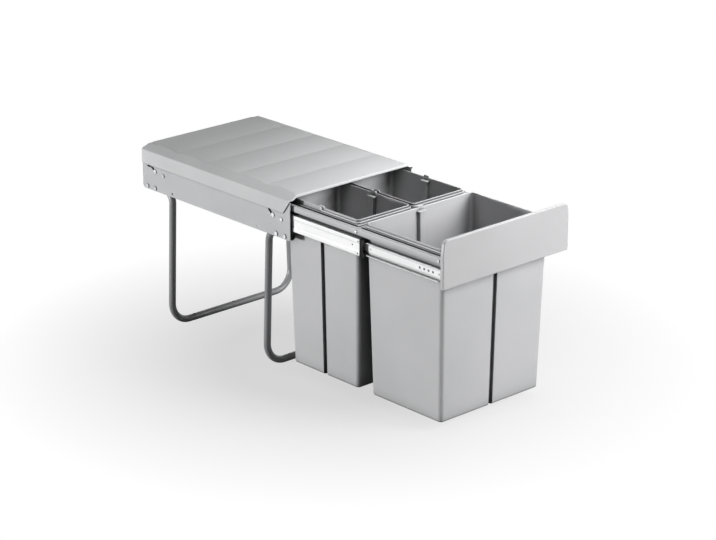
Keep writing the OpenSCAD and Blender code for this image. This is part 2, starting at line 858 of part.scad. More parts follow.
// Upright rib of width w on the wall at +X of a bin of width bin_w, from depth to height,
// reaching deep inside the wall's face
module wall_rib(bin_w, w, deep, from_z, to_z) {
  translate([bin_w / 2, 0, 0]) rotate([0, bin_draft, 0])
    translate([-deep, -w / 2, from_z]) cube([deep + 6, w, to_z - from_z]);
}

// Bin with grooves, a flange, a rim and handle lugs in its two walls across X.
// Its flange reaches f_neg and f_pos beyond these walls, and f_end beyond the other two.
module bin(w, l, f_neg, f_pos, f_end_neg, f_end_pos) {
  t = bin_wall;
  z1 = rim_top - bar_top;
  color(bin_grey) difference() {
    union() {
      difference() {
        bin_body(w, l, bin_depth, bin_corner_r);
        both_sides() wall_rib(w, groove_w, groove_d, -bin_depth - 6, -0.5);
      }
      linear_extrude(z1) plate_2d(w, l, bin_corner_r);
      translate([-w / 2 - f_neg, -l / 2 - f_end_neg, 0])
        cube([w + f_neg + f_pos, l + f_end_neg + f_end_pos, flange_t]);
      both_sides() along_x(w / 2 - t, w / 2) polygon(rounded([
        [-lug_l / 2, z1 - cut, 0], [lug_l / 2, z1 - cut, 0],
        [lug_l / 2 - 2, lug_top - bar_top, 3], [-lug_l / 2 + 2, lug_top - bar_top, 3]
      ]));
    }
    difference() {
      union() {
        bin_body(w - 2 * t, l - 2 * t, bin_depth - t, bin_corner_r - t);
        translate([0, 0, -0.01]) linear_extrude(z1 + cut)
          plate_2d(w - 2 * t, l - 2 * t, bin_corner_r - t);
      }
      both_sides() wall_rib(w, groove_w + 2 * t, groove_d + t, -bin_depth - 6, z1 - 6);
      both_sides() along_x(w / 2 - t - groove_d - 1, w / 2) translate([-9, z1 - 8.5])
        square([18, 2.5]);
    }
    both_sides() pin_x(w / 2 - t - groove_d - 2, w / 2 + cut, 0, pivot_z - bar_top, pivot_d + 0.4);
  }
}

module rear_right_bin() {
  pulled(travel) translate([half_bin_x, rear_bins_y, bar_top])
    bin(half_bin_w, bin_l, inner_flange, side_flange, end_flange, end_flange);
}

module rear_left_bin() {
  mirror([1, 0, 0]) rear_right_bin();
}

module front_bin() {
  pulled(travel) translate([0, front_bin_y, bar_top]) rotate([0, 0, 90])
    bin(bin_l, 2 * bin_x, end_flange, end_flange, side_flange, side_flange);
}

// Bail handle, folded on the flange of a bin that is w wide and reaches front from its pivot
module bail(w, front) {
  x0 = w / 2 + bail_gap;
  x1 = x0 + bail_w;
  y1 = -front - bail_gap;
  r = bin_corner_r;
  color(bin_grey) {
    translate([0, 0, bail_z - bar_top]) linear_extrude(bail_h) difference() {
      polygon(rounded([[x1, 0, 0], [-x1, 0, 0], [-x1, y1 - bail_w, r], [x1, y1 - bail_w, r]]));
      polygon(rounded([[x0, cut, 0], [-x0, cut, 0], [-x0, y1, r - bail_w], [x0, y1, r - bail_w]]));
    }
    both_sides() {
      pin_x(x0, x1, 0, pivot_z - bar_top, ear_d);
      pin_x(w / 2 - bin_wall - 1, x0, 0, pivot_z - bar_top, pivot_d);
    }
  }
}

module rear_right_bin_handle() {
  pulled(travel) translate([half_bin_x, rear_bins_y, bar_top]) bail(half_bin_w, bin_l / 2);
}

module rear_left_bin_handle() {
  mirror([1, 0, 0]) rear_right_bin_handle();
}

module front_bin_handle() {
  pulled(travel) translate([0, front_bin_y, bar_top]) rotate([0, 0, -90])
    bail(bin_l, bin_x);
}

// Height of the lid's top at the distance s behind the front of a wave: each wave is an arch,
// and neighbouring arches meet in a crease
function wave_z(s) = let (k = s / wave_l) lid_valley + 4 * wave_h * k * (1 - k);

// Side view of the lid's outer body
module lid_side() {
  steps = 10;
  slope = 19;
  polygon(concat(
    [[lid_y0, lid_valley], [lid_y0, lid_valley - lip_h], [lid_y0 + 3, shoulder_z - 5],
      [lid_y0 + 3 + slope, skirt_z0], [lid_y1, skirt_z0], [lid_y1, lid_valley - 5],
      [lid_y1 - 1.5, lid_valley - 1.5], [lid_y1 - 5, lid_valley]],
    [for (w = [waves - 1 : -1 : 0], i = [steps : -1 : 1])
      [lid_y0 + w * wave_l + i * wave_l / steps, wave_z(i * wave_l / steps)]]
  ));
}

// Front view of the lid's outer body
module lid_front() {
  top = lid_valley + wave_h + cut;
  slope = shoulder_w / shoulder_h;
  x = shoulder_x - slope * (top - shoulder_top);
  polygon([
    [-skirt_out_x, skirt_z0 - cut], [skirt_out_x, skirt_z0 - cut], [skirt_out_x, shoulder_z],
    [x, top], [-x, top], [-skirt_out_x, shoulder_z]
  ]);
}

// Front view of the space under the lid, its roof at the height top
module lid_space(top) {
  slope = shoulder_w / shoulder_h;
  drop = skirt_t * sqrt(1 + 1 / (slope * slope));
  z = shoulder_z + skirt_t / slope - drop;
  polygon([
    [-skirt_in_x, skirt_z0 - 2 * cut], [skirt_in_x, skirt_z0 - 2 * cut], [skirt_in_x, z],
    [skirt_in_x - slope * (top - z), top], [-skirt_in_x + slope * (top - z), top], [-skirt_in_x, z]
  ]);
}

// Moulded lid: a waved top with sloped shoulders, a skirt outside the panels, a lip in front
// and four lugs that hang between the panels and the slides
module system_lid() {
  lug_x0 = slide_out_x + lug_side_gap;
  slope = shoulder_w / shoulder_h;
  lug_z1 = shoulder_z + (skirt_out_x - lug_x0) / slope - skirt_t / 2;
  color(lid_grey) {
    difference() {
      intersection() {
        along_x(-skirt_out_x - cut, skirt_out_x + cut) lid_side();
        along_y(lid_y0 - cut, lid_y1 + cut) lid_front();
      }
      along_y(lid_y0 + lip_t, lid_y1 - lid_rear_t) lid_space(lid_under);
      along_y(lid_y0 - cut, lid_y0 + lip_t + cut) lid_space(lid_valley - lip_h);
    }
    both_sides() for (y = [front_pin_y, rear_pin_y]) difference() {
      along_x(lug_x0, lug_x0 + lug_t) polygon(rounded([
        [y - lid_lug_w / 2, pin_z - 6, 4], [y + lid_lug_w / 2, pin_z - 6, 4],
        [y + lid_lug_w / 2, lug_z1, 0], [y - lid_lug_w / 2, lug_z1, 0]
      ]));
      pin_x(lug_x0 - cut, panel_in_x, y, pin_z, pin_d + 2 * hole_gap);
    }
  }
}

// Pins with flat heads that guide the lid in the panels' slots
module lid_guide_pins() {
  head_x = panel_out_x + head_gap;
  color(zinc) both_sides() for (y = [front_pin_y, rear_pin_y]) {
    pin_x(slide_out_x + lug_side_gap, head_x + cut / 2, y, pin_z, pin_d);
    pin_x(head_x, head_x + pin_head_h, y, pin_z, pin_head_d);
  }
}

left_side_panel();
right_side_panel();
rear_tie_strip();
front_leg_hoop();
rear_leg_hoop();
hoop_end_plugs();
hoop_bolts();
left_outer_slide();
right_outer_slide();
slide_screws();
slide_spacers();
system_lid();
lid_guide_pins();
left_middle_slide();
right_middle_slide();
left_slide_bumper();
right_slide_bumper();
left_outer_cage();
right_outer_cage();
left_outer_balls();
right_outer_balls();
left_inner_cage();
right_inner_cage();
left_inner_balls();
right_inner_balls();
left_inner_slide();
right_inner_slide();
left_carrier_rail();
right_carrier_rail();
front_cross_bar();
middle_cross_bar();
rear_cross_bar();
carrier_screws();
front_panel();
left_panel_bracket();
right_panel_bracket();
panel_screws();
front_bin();
rear_left_bin();
rear_right_bin();
front_bin_handle();
rear_left_bin_handle();
rear_right_bin_handle();
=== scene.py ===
# %% [markdown]
# # A pull-out waste bin unit, dressed for its picture
#
# The unit stands in a kitchen base cabinet: two tube hoops carry two side panels, ball slides
# carry a drawer of rails and cross bars, three plastic bins hang in the drawer, and a waved lid
# stays over the frame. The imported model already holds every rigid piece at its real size. This
# lesson loads that model, gives each piece its finish, and builds the moulded and folded pieces
# again as smooth surfaces, because the real ones have soft edges that a plain solid lacks.

# %% Load the frame
import bpy
import json
import math
import numpy as np
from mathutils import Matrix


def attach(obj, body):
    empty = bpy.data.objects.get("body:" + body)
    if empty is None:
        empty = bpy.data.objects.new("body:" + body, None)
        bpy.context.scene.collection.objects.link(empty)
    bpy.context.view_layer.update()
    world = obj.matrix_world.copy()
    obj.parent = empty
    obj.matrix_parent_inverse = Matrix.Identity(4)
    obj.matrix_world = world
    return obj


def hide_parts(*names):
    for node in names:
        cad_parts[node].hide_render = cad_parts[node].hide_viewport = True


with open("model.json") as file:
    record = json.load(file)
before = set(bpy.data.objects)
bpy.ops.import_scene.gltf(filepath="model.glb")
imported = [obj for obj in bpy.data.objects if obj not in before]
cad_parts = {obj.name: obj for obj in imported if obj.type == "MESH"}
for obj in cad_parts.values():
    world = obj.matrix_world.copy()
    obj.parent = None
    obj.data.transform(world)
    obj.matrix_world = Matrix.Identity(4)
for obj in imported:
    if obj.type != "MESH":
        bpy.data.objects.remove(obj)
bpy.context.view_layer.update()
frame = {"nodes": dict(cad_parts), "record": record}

# %% [markdown]
# The camera stands where the photographer stood: to the left of the unit and above it, far away
# with a long lens, so that the side panels hardly shrink with distance. A camera is placed most
# safely from angles and a distance round the point it looks at, because its turn then follows
# from the same numbers.

# %% Camera
MM = 0.001
LOOK_AT = np.array([24.66, -223.63, 184.88]) * MM
AZIMUTH = math.radians(-42.47)
ELEVATION = math.radians(20.10)
DISTANCE = 5.00377
LENS_MM = 121.12

camera_data = bpy.data.cameras.new("camera")
camera_data.sensor_width = 36
camera_data.lens = LENS_MM
camera_data.clip_end = 50
camera = bpy.data.objects.new("camera", camera_data)
bpy.context.scene.collection.objects.link(camera)
back = np.array([
    math.sin(AZIMUTH) * math.cos(ELEVATION),
    -math.cos(AZIMUTH) * math.cos(ELEVATION),
    math.sin(ELEVATION),
])
camera.location = LOOK_AT + back * DISTANCE
camera.rotation_euler = (math.pi / 2 - ELEVATION, 0, AZIMUTH)
bpy.context.scene.camera = camera
print("camera at", [round(c, 3) for c in camera.location])

# %% [markdown]
# ## Finishes
#
# Every finish here is the same idea with other numbers. A real coating is never one colour: it
# drifts a little over a hand's breadth, its gloss drifts with it, a fine grain breaks up the
# highlight, and handling polishes or scuffs the edges first. So one function makes a surface
# from a slow noise for colour and gloss, a fine noise for the grain, and a mask for the edges.
# The mask compares the true normal with a normal that is averaged round the edge: on a flat
# they agree, and at an edge they part. The averaged normal also rounds the light on the sharp
# edges of the imported pieces. On the slides the edge colour is painted shade, and on the bins it
# is partly a painted highlight. A second mask paints shade, with a little grease, into grooves,
# holes and narrow gaps: it darkens the places that see little of the open air round them.
#
# First come four helpers, because a finish written node by node would be ten times as long.

# %% Helpers for shader nodes
def add_node(tree, kind, inputs, **settings):
    """New shader node: settings are its properties, and inputs maps the name or index of a
    socket to a value or to another node's output."""
    made = tree.nodes.new(kind)
    for key, value in settings.items():
        setattr(made, key, value)
    for key, value in inputs.items():
        if isinstance(value, bpy.types.NodeSocket):
            tree.links.new(value, made.inputs[key])
        else:
            made.inputs[key].default_value = value
    return made


def noise(tree, point, scale, detail, stretch=(1, 1, 1)):
    """Noise of the point, which is first multiplied by stretch, with scale bumps per metre."""
    moved = add_node(tree, "ShaderNodeVectorMath", {0: point, 1: stretch}, operation="MULTIPLY")
    made = add_node(tree, "ShaderNodeTexNoise",
                    {"Vector": moved.outputs[0], "Scale": scale, "Detail": detail})
    return made.outputs[0]


def mapped(tree, value, low, high, to_low, to_high):
    """The value carried from the range low to high into the range to_low to to_high."""
    made = add_node(tree, "ShaderNodeMapRange", {
        "Value": value, "From Min": low, "From Max": high, "To Min": to_low, "To Max": to_high})
    return made.outputs[0]


def blend(tree, amount, first, second):
    """Colour first + amount x (second - first)."""
    made = add_node(tree, "ShaderNodeMix", {0: amount, 6: first, 7: second}, data_type="RGBA")
    return made.outputs[2]


print("helpers for shader nodes: add_node, noise, mapped, blend")

# %% [markdown]
# The recipe itself takes the colours, the roughness and the grain of one coating or plastic.
# Noise seldom leaves the middle of its range, so that middle is stretched over what is wanted.

# %% One recipe for every finish
# The near black of the second mask: painted shade in hollows and gaps, with a little grease.
GREASE_AND_SHADE = (0.01, 0.01, 0.011, 1)
WIDE_SPAN, NARROW_SPAN = (0.3, 0.7), (0.35, 0.65)
SHARP_EDGE, SMOOTH_EDGE = 0.8, 0.995
PATCHES = 60.0
BUMP_STRENGTH = 0.35


def surface(name, colour, tint, edge_scuffs_and_painted_light, rough, rough_drift, grain, grain_mm, drift=7.0,
            metallic=0.0, stretch=(1, 1, 1), edge_amount=0.5, edge_mm=0.9, grime_and_shade=0.85, gap_mm=8.0,
            air=(0.5, 0.92), sheen=0.5):
    """Surface whose colour is colour + noise x (tint - colour), then moves to
    edge_scuffs_and_painted_light on edges, which is wear on most finishes, painted shade on the
    slides and partly a painted highlight on the bins, and to near black, a painted shade with a
    little grease, by grime_and_shade at most, where nearby pieces close off the air within gap_mm:
    fully where only the share air[0] of it is open, and not at all from the share air[1].
    Roughness is rough + rough_drift x noise, and the normal is shaken by grain_mm x fine noise."""
    made = bpy.data.materials.new(name)
    made.use_nodes = True
    tree = made.node_tree
    shader = tree.nodes["Principled BSDF"]
    point = add_node(tree, "ShaderNodeTexCoord", {}).outputs["Object"]
    slow = mapped(tree, noise(tree, point, drift, 4.0), *WIDE_SPAN, 0.0, 1.0)
    fine = noise(tree, point, grain, 3.0, stretch)
    rounded = add_node(tree, "ShaderNodeBevel", {"Radius": edge_mm * MM}, samples=4).outputs[0]
    true = add_node(tree, "ShaderNodeNewGeometry", {}).outputs["Normal"]
    alike = add_node(tree, "ShaderNodeVectorMath", {0: rounded, 1: true}, operation="DOT_PRODUCT")
    # The edge colour is painted shade on the slides and partly a painted highlight on the bins;
    # elsewhere it is wear.
    edge = mapped(tree, alike.outputs["Value"], SHARP_EDGE, SMOOTH_EDGE, edge_amount, 0.0)
    patchy = mapped(tree, noise(tree, point, PATCHES, 2.0), *NARROW_SPAN, 0.4, 1.0)
    edge = add_node(tree, "ShaderNodeMath", {0: edge, 1: patchy}, operation="MULTIPLY").outputs[0]
    body = blend(tree, slow, (*colour, 1), (*tint, 1))
    streaked = blend(tree, mapped(tree, fine, *NARROW_SPAN, 0.0, 0.35), body, (*tint, 1))
    # Painted shade: the ambient occlusion darkens hollows, holes and narrow gaps towards near black.
    open_air = add_node(tree, "ShaderNodeAmbientOcclusion", {"Distance": gap_mm * MM}, samples=6)
    hidden = mapped(tree, open_air.outputs["AO"], *air, grime_and_shade, 0.0)
    before_hollow_shade = blend(tree, edge, streaked, (*edge_scuffs_and_painted_light, 1))
    tree.links.new(blend(tree, hidden, before_hollow_shade, GREASE_AND_SHADE), shader.inputs["Base Color"])
    gloss = mapped(tree, slow, 0.0, 1.0, rough, rough + rough_drift)
    tree.links.new(gloss, shader.inputs["Roughness"])
    bump = add_node(tree, "ShaderNodeBump", {
        "Strength": BUMP_STRENGTH, "Distance": grain_mm * MM, "Height": fine,
        "Normal": rounded})
    tree.links.new(bump.outputs[0], shader.inputs["Normal"])
    shader.inputs["Metallic"].default_value = metallic
    shader.inputs["Specular IOR Level"].default_value = sheen
    return made


print("one recipe, with noise of", PATCHES, "patches per metre on its edges")

# %% [markdown]
# The panels, rails and cross bars are steel under a silver-grey powder coat: satin, with an
# orange-peel grain of about a millimetre. The tubes have a darker coat of the same family. The
# slides are cold-rolled steel with bright zinc, drawn through rollers, so their grain runs along
# the slide. Their dark edge colour is painted shade along the beads and edges and round the
# holes, with some grease. Lid and bins are moulded polypropylene with a fine spark-eroded grain.
# The bins' pale edges are partly a painted highlight and partly wear. The bins' second mask
# reaches further than the others' and paints the shade deep inside them and in the gaps between
# them, because they are deep and stand close together.

# %% The finishes by slot
FINISHES = {
    "coated_steel": surface(
        "coated_steel", (0.44, 0.445, 0.455), (0.50, 0.505, 0.515), (0.72, 0.725, 0.73),
        0.40, 0.08, 700.0, 0.05),
    "coated_tube": surface(
        "coated_tube", (0.24, 0.242, 0.248), (0.29, 0.293, 0.30), (0.36, 0.365, 0.37),
        0.26, 0.10, 700.0, 0.04),
    "front_coating": surface(
        "front_coating", (0.47, 0.468, 0.475), (0.54, 0.535, 0.545), (0.90, 0.90, 0.905),
        0.38, 0.08, 700.0, 0.04, drift=4.0, edge_amount=0.6, edge_mm=1.2),
    # The slides' dark edge colour and strong second mask paint shade along their beads, edges and
    # holes.
    "zinc_slide": surface(
        "zinc_slide", (0.90, 0.905, 0.91), (0.95, 0.95, 0.955), (0.05, 0.05, 0.052),
        0.30, 0.12, 260.0, 0.03, metallic=0.1, stretch=(1.0, 0.03, 1.0), edge_amount=1.0,
        edge_mm=2.0, grime_and_shade=0.97),
    "zinc_fastener": surface(
        "zinc_fastener", (0.46, 0.465, 0.47), (0.56, 0.56, 0.57), (0.80, 0.80, 0.80),
        0.34, 0.12, 900.0, 0.03, metallic=0.7, drift=40.0, edge_mm=0.4),
    "ball_steel": surface(
        "ball_steel", (0.74, 0.74, 0.76), (0.80, 0.80, 0.82), (0.88, 0.88, 0.9),
        0.08, 0.06, 1500.0, 0.01, metallic=1.0, drift=60.0, edge_mm=0.3),
    "lid_plastic": surface(
        "lid_plastic", (0.55, 0.555, 0.56), (0.61, 0.615, 0.62), (0.78, 0.785, 0.79),
        0.50, 0.10, 1100.0, 0.05, sheen=0.1),
    # The bins' second mask paints shade deep inside them and in the gaps between them; their pale
    # edges are partly a painted highlight.
    "bin_plastic": surface(
        "bin_plastic", (0.47, 0.475, 0.48), (0.53, 0.53, 0.54), (0.84, 0.845, 0.85),
        0.44, 0.10, 1100.0, 0.05, drift=5.0, edge_amount=0.8, edge_mm=1.1, grime_and_shade=0.92,
        gap_mm=60.0, air=(0.4, 0.82)),
    "handle_plastic": surface(
        "handle_plastic", (0.52, 0.525, 0.53), (0.60, 0.605, 0.61), (0.80, 0.805, 0.81),
        0.38, 0.10, 1100.0, 0.04, drift=20.0, edge_mm=0.5),
    "black_plastic": surface(
        "black_plastic", (0.004, 0.004, 0.004), (0.008, 0.008, 0.009), (0.03, 0.03, 0.032),
        0.55, 0.14, 1300.0, 0.05, drift=30.0, edge_mm=0.5, sheen=0.15),
}
slot_of = {part["node"]: part["material_slot"] for part in frame["record"]["subparts"]}
for name, obj in frame["nodes"].items():
    obj.data.materials.clear()
    obj.data.materials.append(FINISHES[slot_of[name]])
print("finishes:", len(FINISHES), "on nodes:", len(slot_of))

# %% [markdown]
# ## Shapes as stacks of loops
#
# A moulded piece can be read as a stack of closed loops: the first loop lies in the middle of
# its base, the next ones grow out to the edge, climb the wall, turn over the rim and come down
# inside. Neighbouring loops have the same number of points, so quads join them all. Close
# loops near a bend make it round, and one more loop just beside the bend keeps the flat flat.

# %% Stacks of loops
def stack_faces(count, size):
    """Quads between count loops of size points: point j of loop i is vertex i x size + j."""
    i, j = np.meshgrid(np.arange(count - 1), np.arange(size), indexing="ij")
    k = (j + 1) % size
    quads = np.stack([i * size + j, i * size + k, (i + 1) * size + k, (i + 1) * size + j], -1)
    return quads.reshape(-1, 4)


def closed_stack(rows):
    """Closed surface through the loops rows[i, j]: quads join the loops, and one flat face
    closes the first loop and the last. Its faces turn outward: if the volume, the sum of
    a . (b x c) / 6 over the triangles a, b, c of all faces, is negative, they are reversed."""
    count, size = rows.shape[:2]
    points = rows.reshape(-1, 3)
    quads = stack_faces(count, size)
    start = np.arange(size)[::-1]
    end = np.arange(size) + (count - 1) * size

    def six_volumes(faces):
        """Sum of a . (b x c), with each face cut into triangles that share its first point."""
        a, rest = points[faces[:, 0]], faces[:, 1:]
        return sum(np.einsum("ij,ij->", a, np.cross(points[rest[:, k]], points[rest[:, k + 1]]))
                   for k in range(rest.shape[1] - 1))

    volume = six_volumes(quads) + six_volumes(start[None]) + six_volumes(end[None])
    faces = quads.tolist() + [start.tolist(), end.tolist()]
    if volume < 0:
        faces = [face[::-1] for face in faces]
    return points, faces


print("faces between 3 loops of 8 points:", len(stack_faces(3, 8)))

# %% [markdown]
# A surface becomes a piece of the model when it is told three things: the body that it moves
# with, the finish that it wears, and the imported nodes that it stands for.

# %% Pieces of the model
SHARP_DEGREES = 50.0


def new_piece(name, parts, body, slot, nodes):
    """Object from the parts, each a pair of points in millimetres and faces. Edges that turn by
    more than SHARP_DEGREES stay sharp. It rides on the body and stands for the nodes."""
    points, corners, sizes, first = [], [], [], 0
    for part_points, part_faces in parts:
        points.append(part_points)
        corners.append(np.concatenate(part_faces) + first)
        sizes += [len(face) for face in part_faces]
        first += len(part_points)
    faces = np.split(np.concatenate(corners), np.cumsum(sizes)[:-1])
    mesh = bpy.data.meshes.new(name)
    mesh.from_pydata((np.concatenate(points) * MM).tolist(), [], faces)
    mesh.polygons.foreach_set("use_smooth", np.ones(len(faces), dtype=bool))
    mesh.set_sharp_from_angle(angle=math.radians(SHARP_DEGREES))
    mesh.validate()
    mesh.materials.append(FINISHES[slot])
    made = bpy.data.objects.new(name, mesh)
    bpy.context.scene.collection.objects.link(made)
    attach(made, body)
    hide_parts(*nodes)
    print(name, "faces:", len(faces))
    return made


print("edges stay sharp from", SHARP_DEGREES, "degrees")

# %% [markdown]
# Two curves come back in every piece: a step that starts and ends softly, for the sides of a
# groove or a lug, and an outline whose corners are arcs, for sections and plates.

# %% Soft steps and rounded outlines
def smooth_step(low, high, value):
    """0 below low, 1 above high, and t x t x (3 - 2t) between, with t running from 0 to 1."""
    t = np.clip((np.asarray(value, dtype=float) - low) / (high - low), 0.0, 1.0)
    return t * t * (3.0 - 2.0 * t)


def rounded_path(corners, steps=5, closed=True):
    """Points of the outline through corners [u, v, radius]: each corner gives steps + 1 points
    on the arc that touches both of its sides. An open path keeps its two ends as they are."""
    corners = np.asarray(corners, dtype=float)
    places, radii = corners[:, :2], corners[:, 2]
    before = np.roll(places, 1, 0) - places
    after = np.roll(places, -1, 0) - places
    before /= np.linalg.norm(before, axis=1, keepdims=True)
    after /= np.linalg.norm(after, axis=1, keepdims=True)
    half = np.arccos(np.clip(np.sum(before * after, 1), -1.0, 1.0)) / 2.0
    middle = before + after
    middle /= np.linalg.norm(middle, axis=1, keepdims=True)
    centre = places + middle * (radii / np.sin(half))[:, None]
    start = places + before * (radii / np.tan(half))[:, None] - centre
    side = np.sign(before[:, 0] * after[:, 1] - before[:, 1] * after[:, 0])
    turn = -side[:, None] * (np.pi - 2.0 * half)[:, None] * np.linspace(0.0, 1.0, steps + 1)
    cos, sin = np.cos(turn), np.sin(turn)
    arcs = np.stack([start[:, :1] * cos - start[:, 1:] * sin,
                     start[:, :1] * sin + start[:, 1:] * cos], -1) + centre[:, None]
    if closed:
        return arcs.reshape(-1, 2)
    return np.concatenate([places[:1], arcs[1:-1].reshape(-1, 2), places[-1:]])


print("half a soft step:", float(smooth_step(0.0, 1.0, 0.5)))

# %% [markdown]
# ## The bins
#
# Each bin is one moulding of polypropylene: tapered walls, so that it leaves the mould and the
# bins nest; a groove down the middle of two walls, which stiffens them and shows inside as a
# rib with a cap; a flange that hangs on the rails and bars; and a rim with two lugs for the
# handle. The front bin lies across the drawer, and the two rear bins stand side by side.
#
# One loop of a bin is a rounded rectangle with more points near the middle of its two grooved
# walls, where the groove, the rib and the lugs need them.

# %% One loop of a bin
BIN_DEPTH = 351.0
BIN_TOP_Z = 370.0
BIN_WALL = 2.2
BIN_CORNER = 9.0
BIN_LEAN = math.tan(math.radians(1.38))
GROOVE_DEEP = 7.0
GROOVE_HALF = 5.0
RIB_HALF = GROOVE_HALF + BIN_WALL
CAP_HALF = 10.0
RIM_HIGH = 10.5
LUG_HIGH = 4.0
FLANGE_T = 2.0
DENSE = 14.0
NEAR = np.array(
    [0, 3.4, 4.3, 4.7, 5.1, 5.6, 6.2, 6.8, 7.2, 7.6, 8.4, 9.6, 10.0, 10.4, 11.4, DENSE])


def bin_loop(half_x, half_y, radius, dent, height, centre=0.0):
    """Loop round a bin: a rectangle of half sizes half_x and half_y with rounded corners, whose
    middle lies at centre on X. Its two walls across X are pushed in by dent(y), and its points
    lie at the height(y)."""
    straight = half_y - radius
    reach = np.concatenate([NEAR, DENSE + (straight - DENSE) * np.array([0.1, 0.5, 0.9, 0.98])])
    y = np.concatenate([-reach[::-1], reach[1:]])
    arc = np.linspace(0.0, np.pi / 2.0, 8)
    x_side = (half_x - radius) * np.array([0.98, 0.9, 0.5, 0.0, -0.5, -0.9, -0.98])
    x = np.concatenate([
        half_x - dent(y), half_x - radius + radius * np.cos(arc), x_side,
        radius - half_x + radius * np.cos(arc + np.pi / 2.0)])
    y = np.concatenate([
        y, straight + radius * np.sin(arc), np.full(len(x_side), half_y),
        straight + radius * np.sin(arc + np.pi / 2.0)])
    x, y = np.concatenate([x, -x]), np.concatenate([y, -y])
    on_wall = (np.abs(y) < straight) & (np.abs(x) > half_x - radius)
    z = np.where(on_wall, height(y), height(np.full(len(y), half_y)))
    return np.stack([x + centre, y, z], -1)


print("draft of the bins:", round(BIN_LEAN * BIN_DEPTH, 1), "mm over their depth")

# %% [markdown]
# The wall leans in with the depth, so its loops shrink towards the base. A moulded wall keeps
# one thickness, so a groove outside is a rib inside: both are the same soft dent in the loop,
# and the rib's is wider by the wall on each side.

# %% One loop of a bin's wall
LUG_HALF_IN, LUG_HALF_OUT = 5.8, 8.6
GROOVE_SOFT, STEP_SOFT = 0.35, 0.4


def wall_loop(width, length, inset, z, groove=1.0, lug=0.0, rib=0.0, rib_half=0.0):
    """Loop of the wall of a bin of the width and length, drawn in by inset, at the height z
    over the underside of the flange. At the depth d the wall leans in by d x tan(draft)."""
    lean = -min(z, 0.0) * BIN_LEAN

    def dent(y):
        """Depth of the groove outside or of the rib inside, less the inset, and at least 0."""
        outer = GROOVE_DEEP * groove * (1 - smooth_step(
            GROOVE_HALF - GROOVE_SOFT, GROOVE_HALF + STEP_SOFT, np.abs(y)))
        inner = rib * (1 - smooth_step(rib_half - STEP_SOFT, rib_half + STEP_SOFT, np.abs(y)))
        return np.maximum(outer + inner + (BIN_WALL if rib else 0.0) - inset, 0.0)

    def height(y):
        """z, and LUG_HIGH more where a lug stands."""
        return z + lug * LUG_HIGH * (1 - smooth_step(LUG_HALF_IN, LUG_HALF_OUT, np.abs(y)))

    radius = max(BIN_CORNER - max(inset, 0.0), 1.0)
    return bin_loop(width / 2.0 - lean - inset, length / 2.0 - lean - inset, radius, dent, height)


print("half widths of groove, rib and cap:", GROOVE_HALF, RIB_HALF, CAP_HALF)

# %% [markdown]
# A bin hangs by its flange, which stands out further on the two sides that lie on a bar. Its
# edge is soft above and below, so the loops follow a small rounded profile round it.

# %% One loop of the flange
FLANGE_CORNER = 3.0
FLANGE_PROFILE = ((1.4, 0.0), (0.6, 0.0), (0.18, 0.18), (0.0, 0.6), (0.0, 1.4), (0.18, 1.82),
                  (0.6, FLANGE_T), (1.4, FLANGE_T))


def flange_loop(width, length, reach, inset, z):
    """Loop of the flange's edge, drawn in by inset, at the height z. reach says how far the
    flange stands out from the two walls across X, and then from the other two."""
    low, high, end = reach
    return bin_loop((width + low + high) / 2.0 - inset, length / 2.0 + end - inset,
                    FLANGE_CORNER - inset, lambda y: 0.0 * y, lambda y: z + 0.0 * y,
                    (high - low) / 2.0)


print("loops round the flange:", len(FLANGE_PROFILE))

# %% [markdown]
# The stack of a bin starts in the middle of its base. It turns round the soft lower edge, climbs
# the outside, goes out round the flange, up the collar, over the rim, and down the inside over
# the rib and its cap to the floor of the bin.

# %% A bin from its base to its rim and down inside
BASE_EDGE, FLOOR_EDGE = 4.0, 5.0
BASE_INSETS = (40.0, 9.0, 5.0)
FLOOR_INSETS = (9.0, 14.0, 40.0)
WALL_FOOT, WALL_HEAD = 6.0 - BIN_DEPTH, -2.2
WALL_STOPS = (-260.0, -175.0, -90.0, -20.0, -5.0)
NECK_PROFILE = ((0.0, -1.2), (-0.15, -0.4), (-0.5, 0.0))
COLLAR_PROFILE = ((-0.5, FLANGE_T), (-0.15, FLANGE_T + 0.35), (0.0, 3.0), (0.0, 5.0))
RIM_LEVEL = RIM_HIGH - 1.6
OVER_CAP, CAP_STOPS = (5.2, 4.7), (4.3, 2.2)
CAP_DEEP = GROOVE_DEEP + 1.0
RIB_HEAD, RIB_FOOT = 1.8, 14.0 - BIN_DEPTH


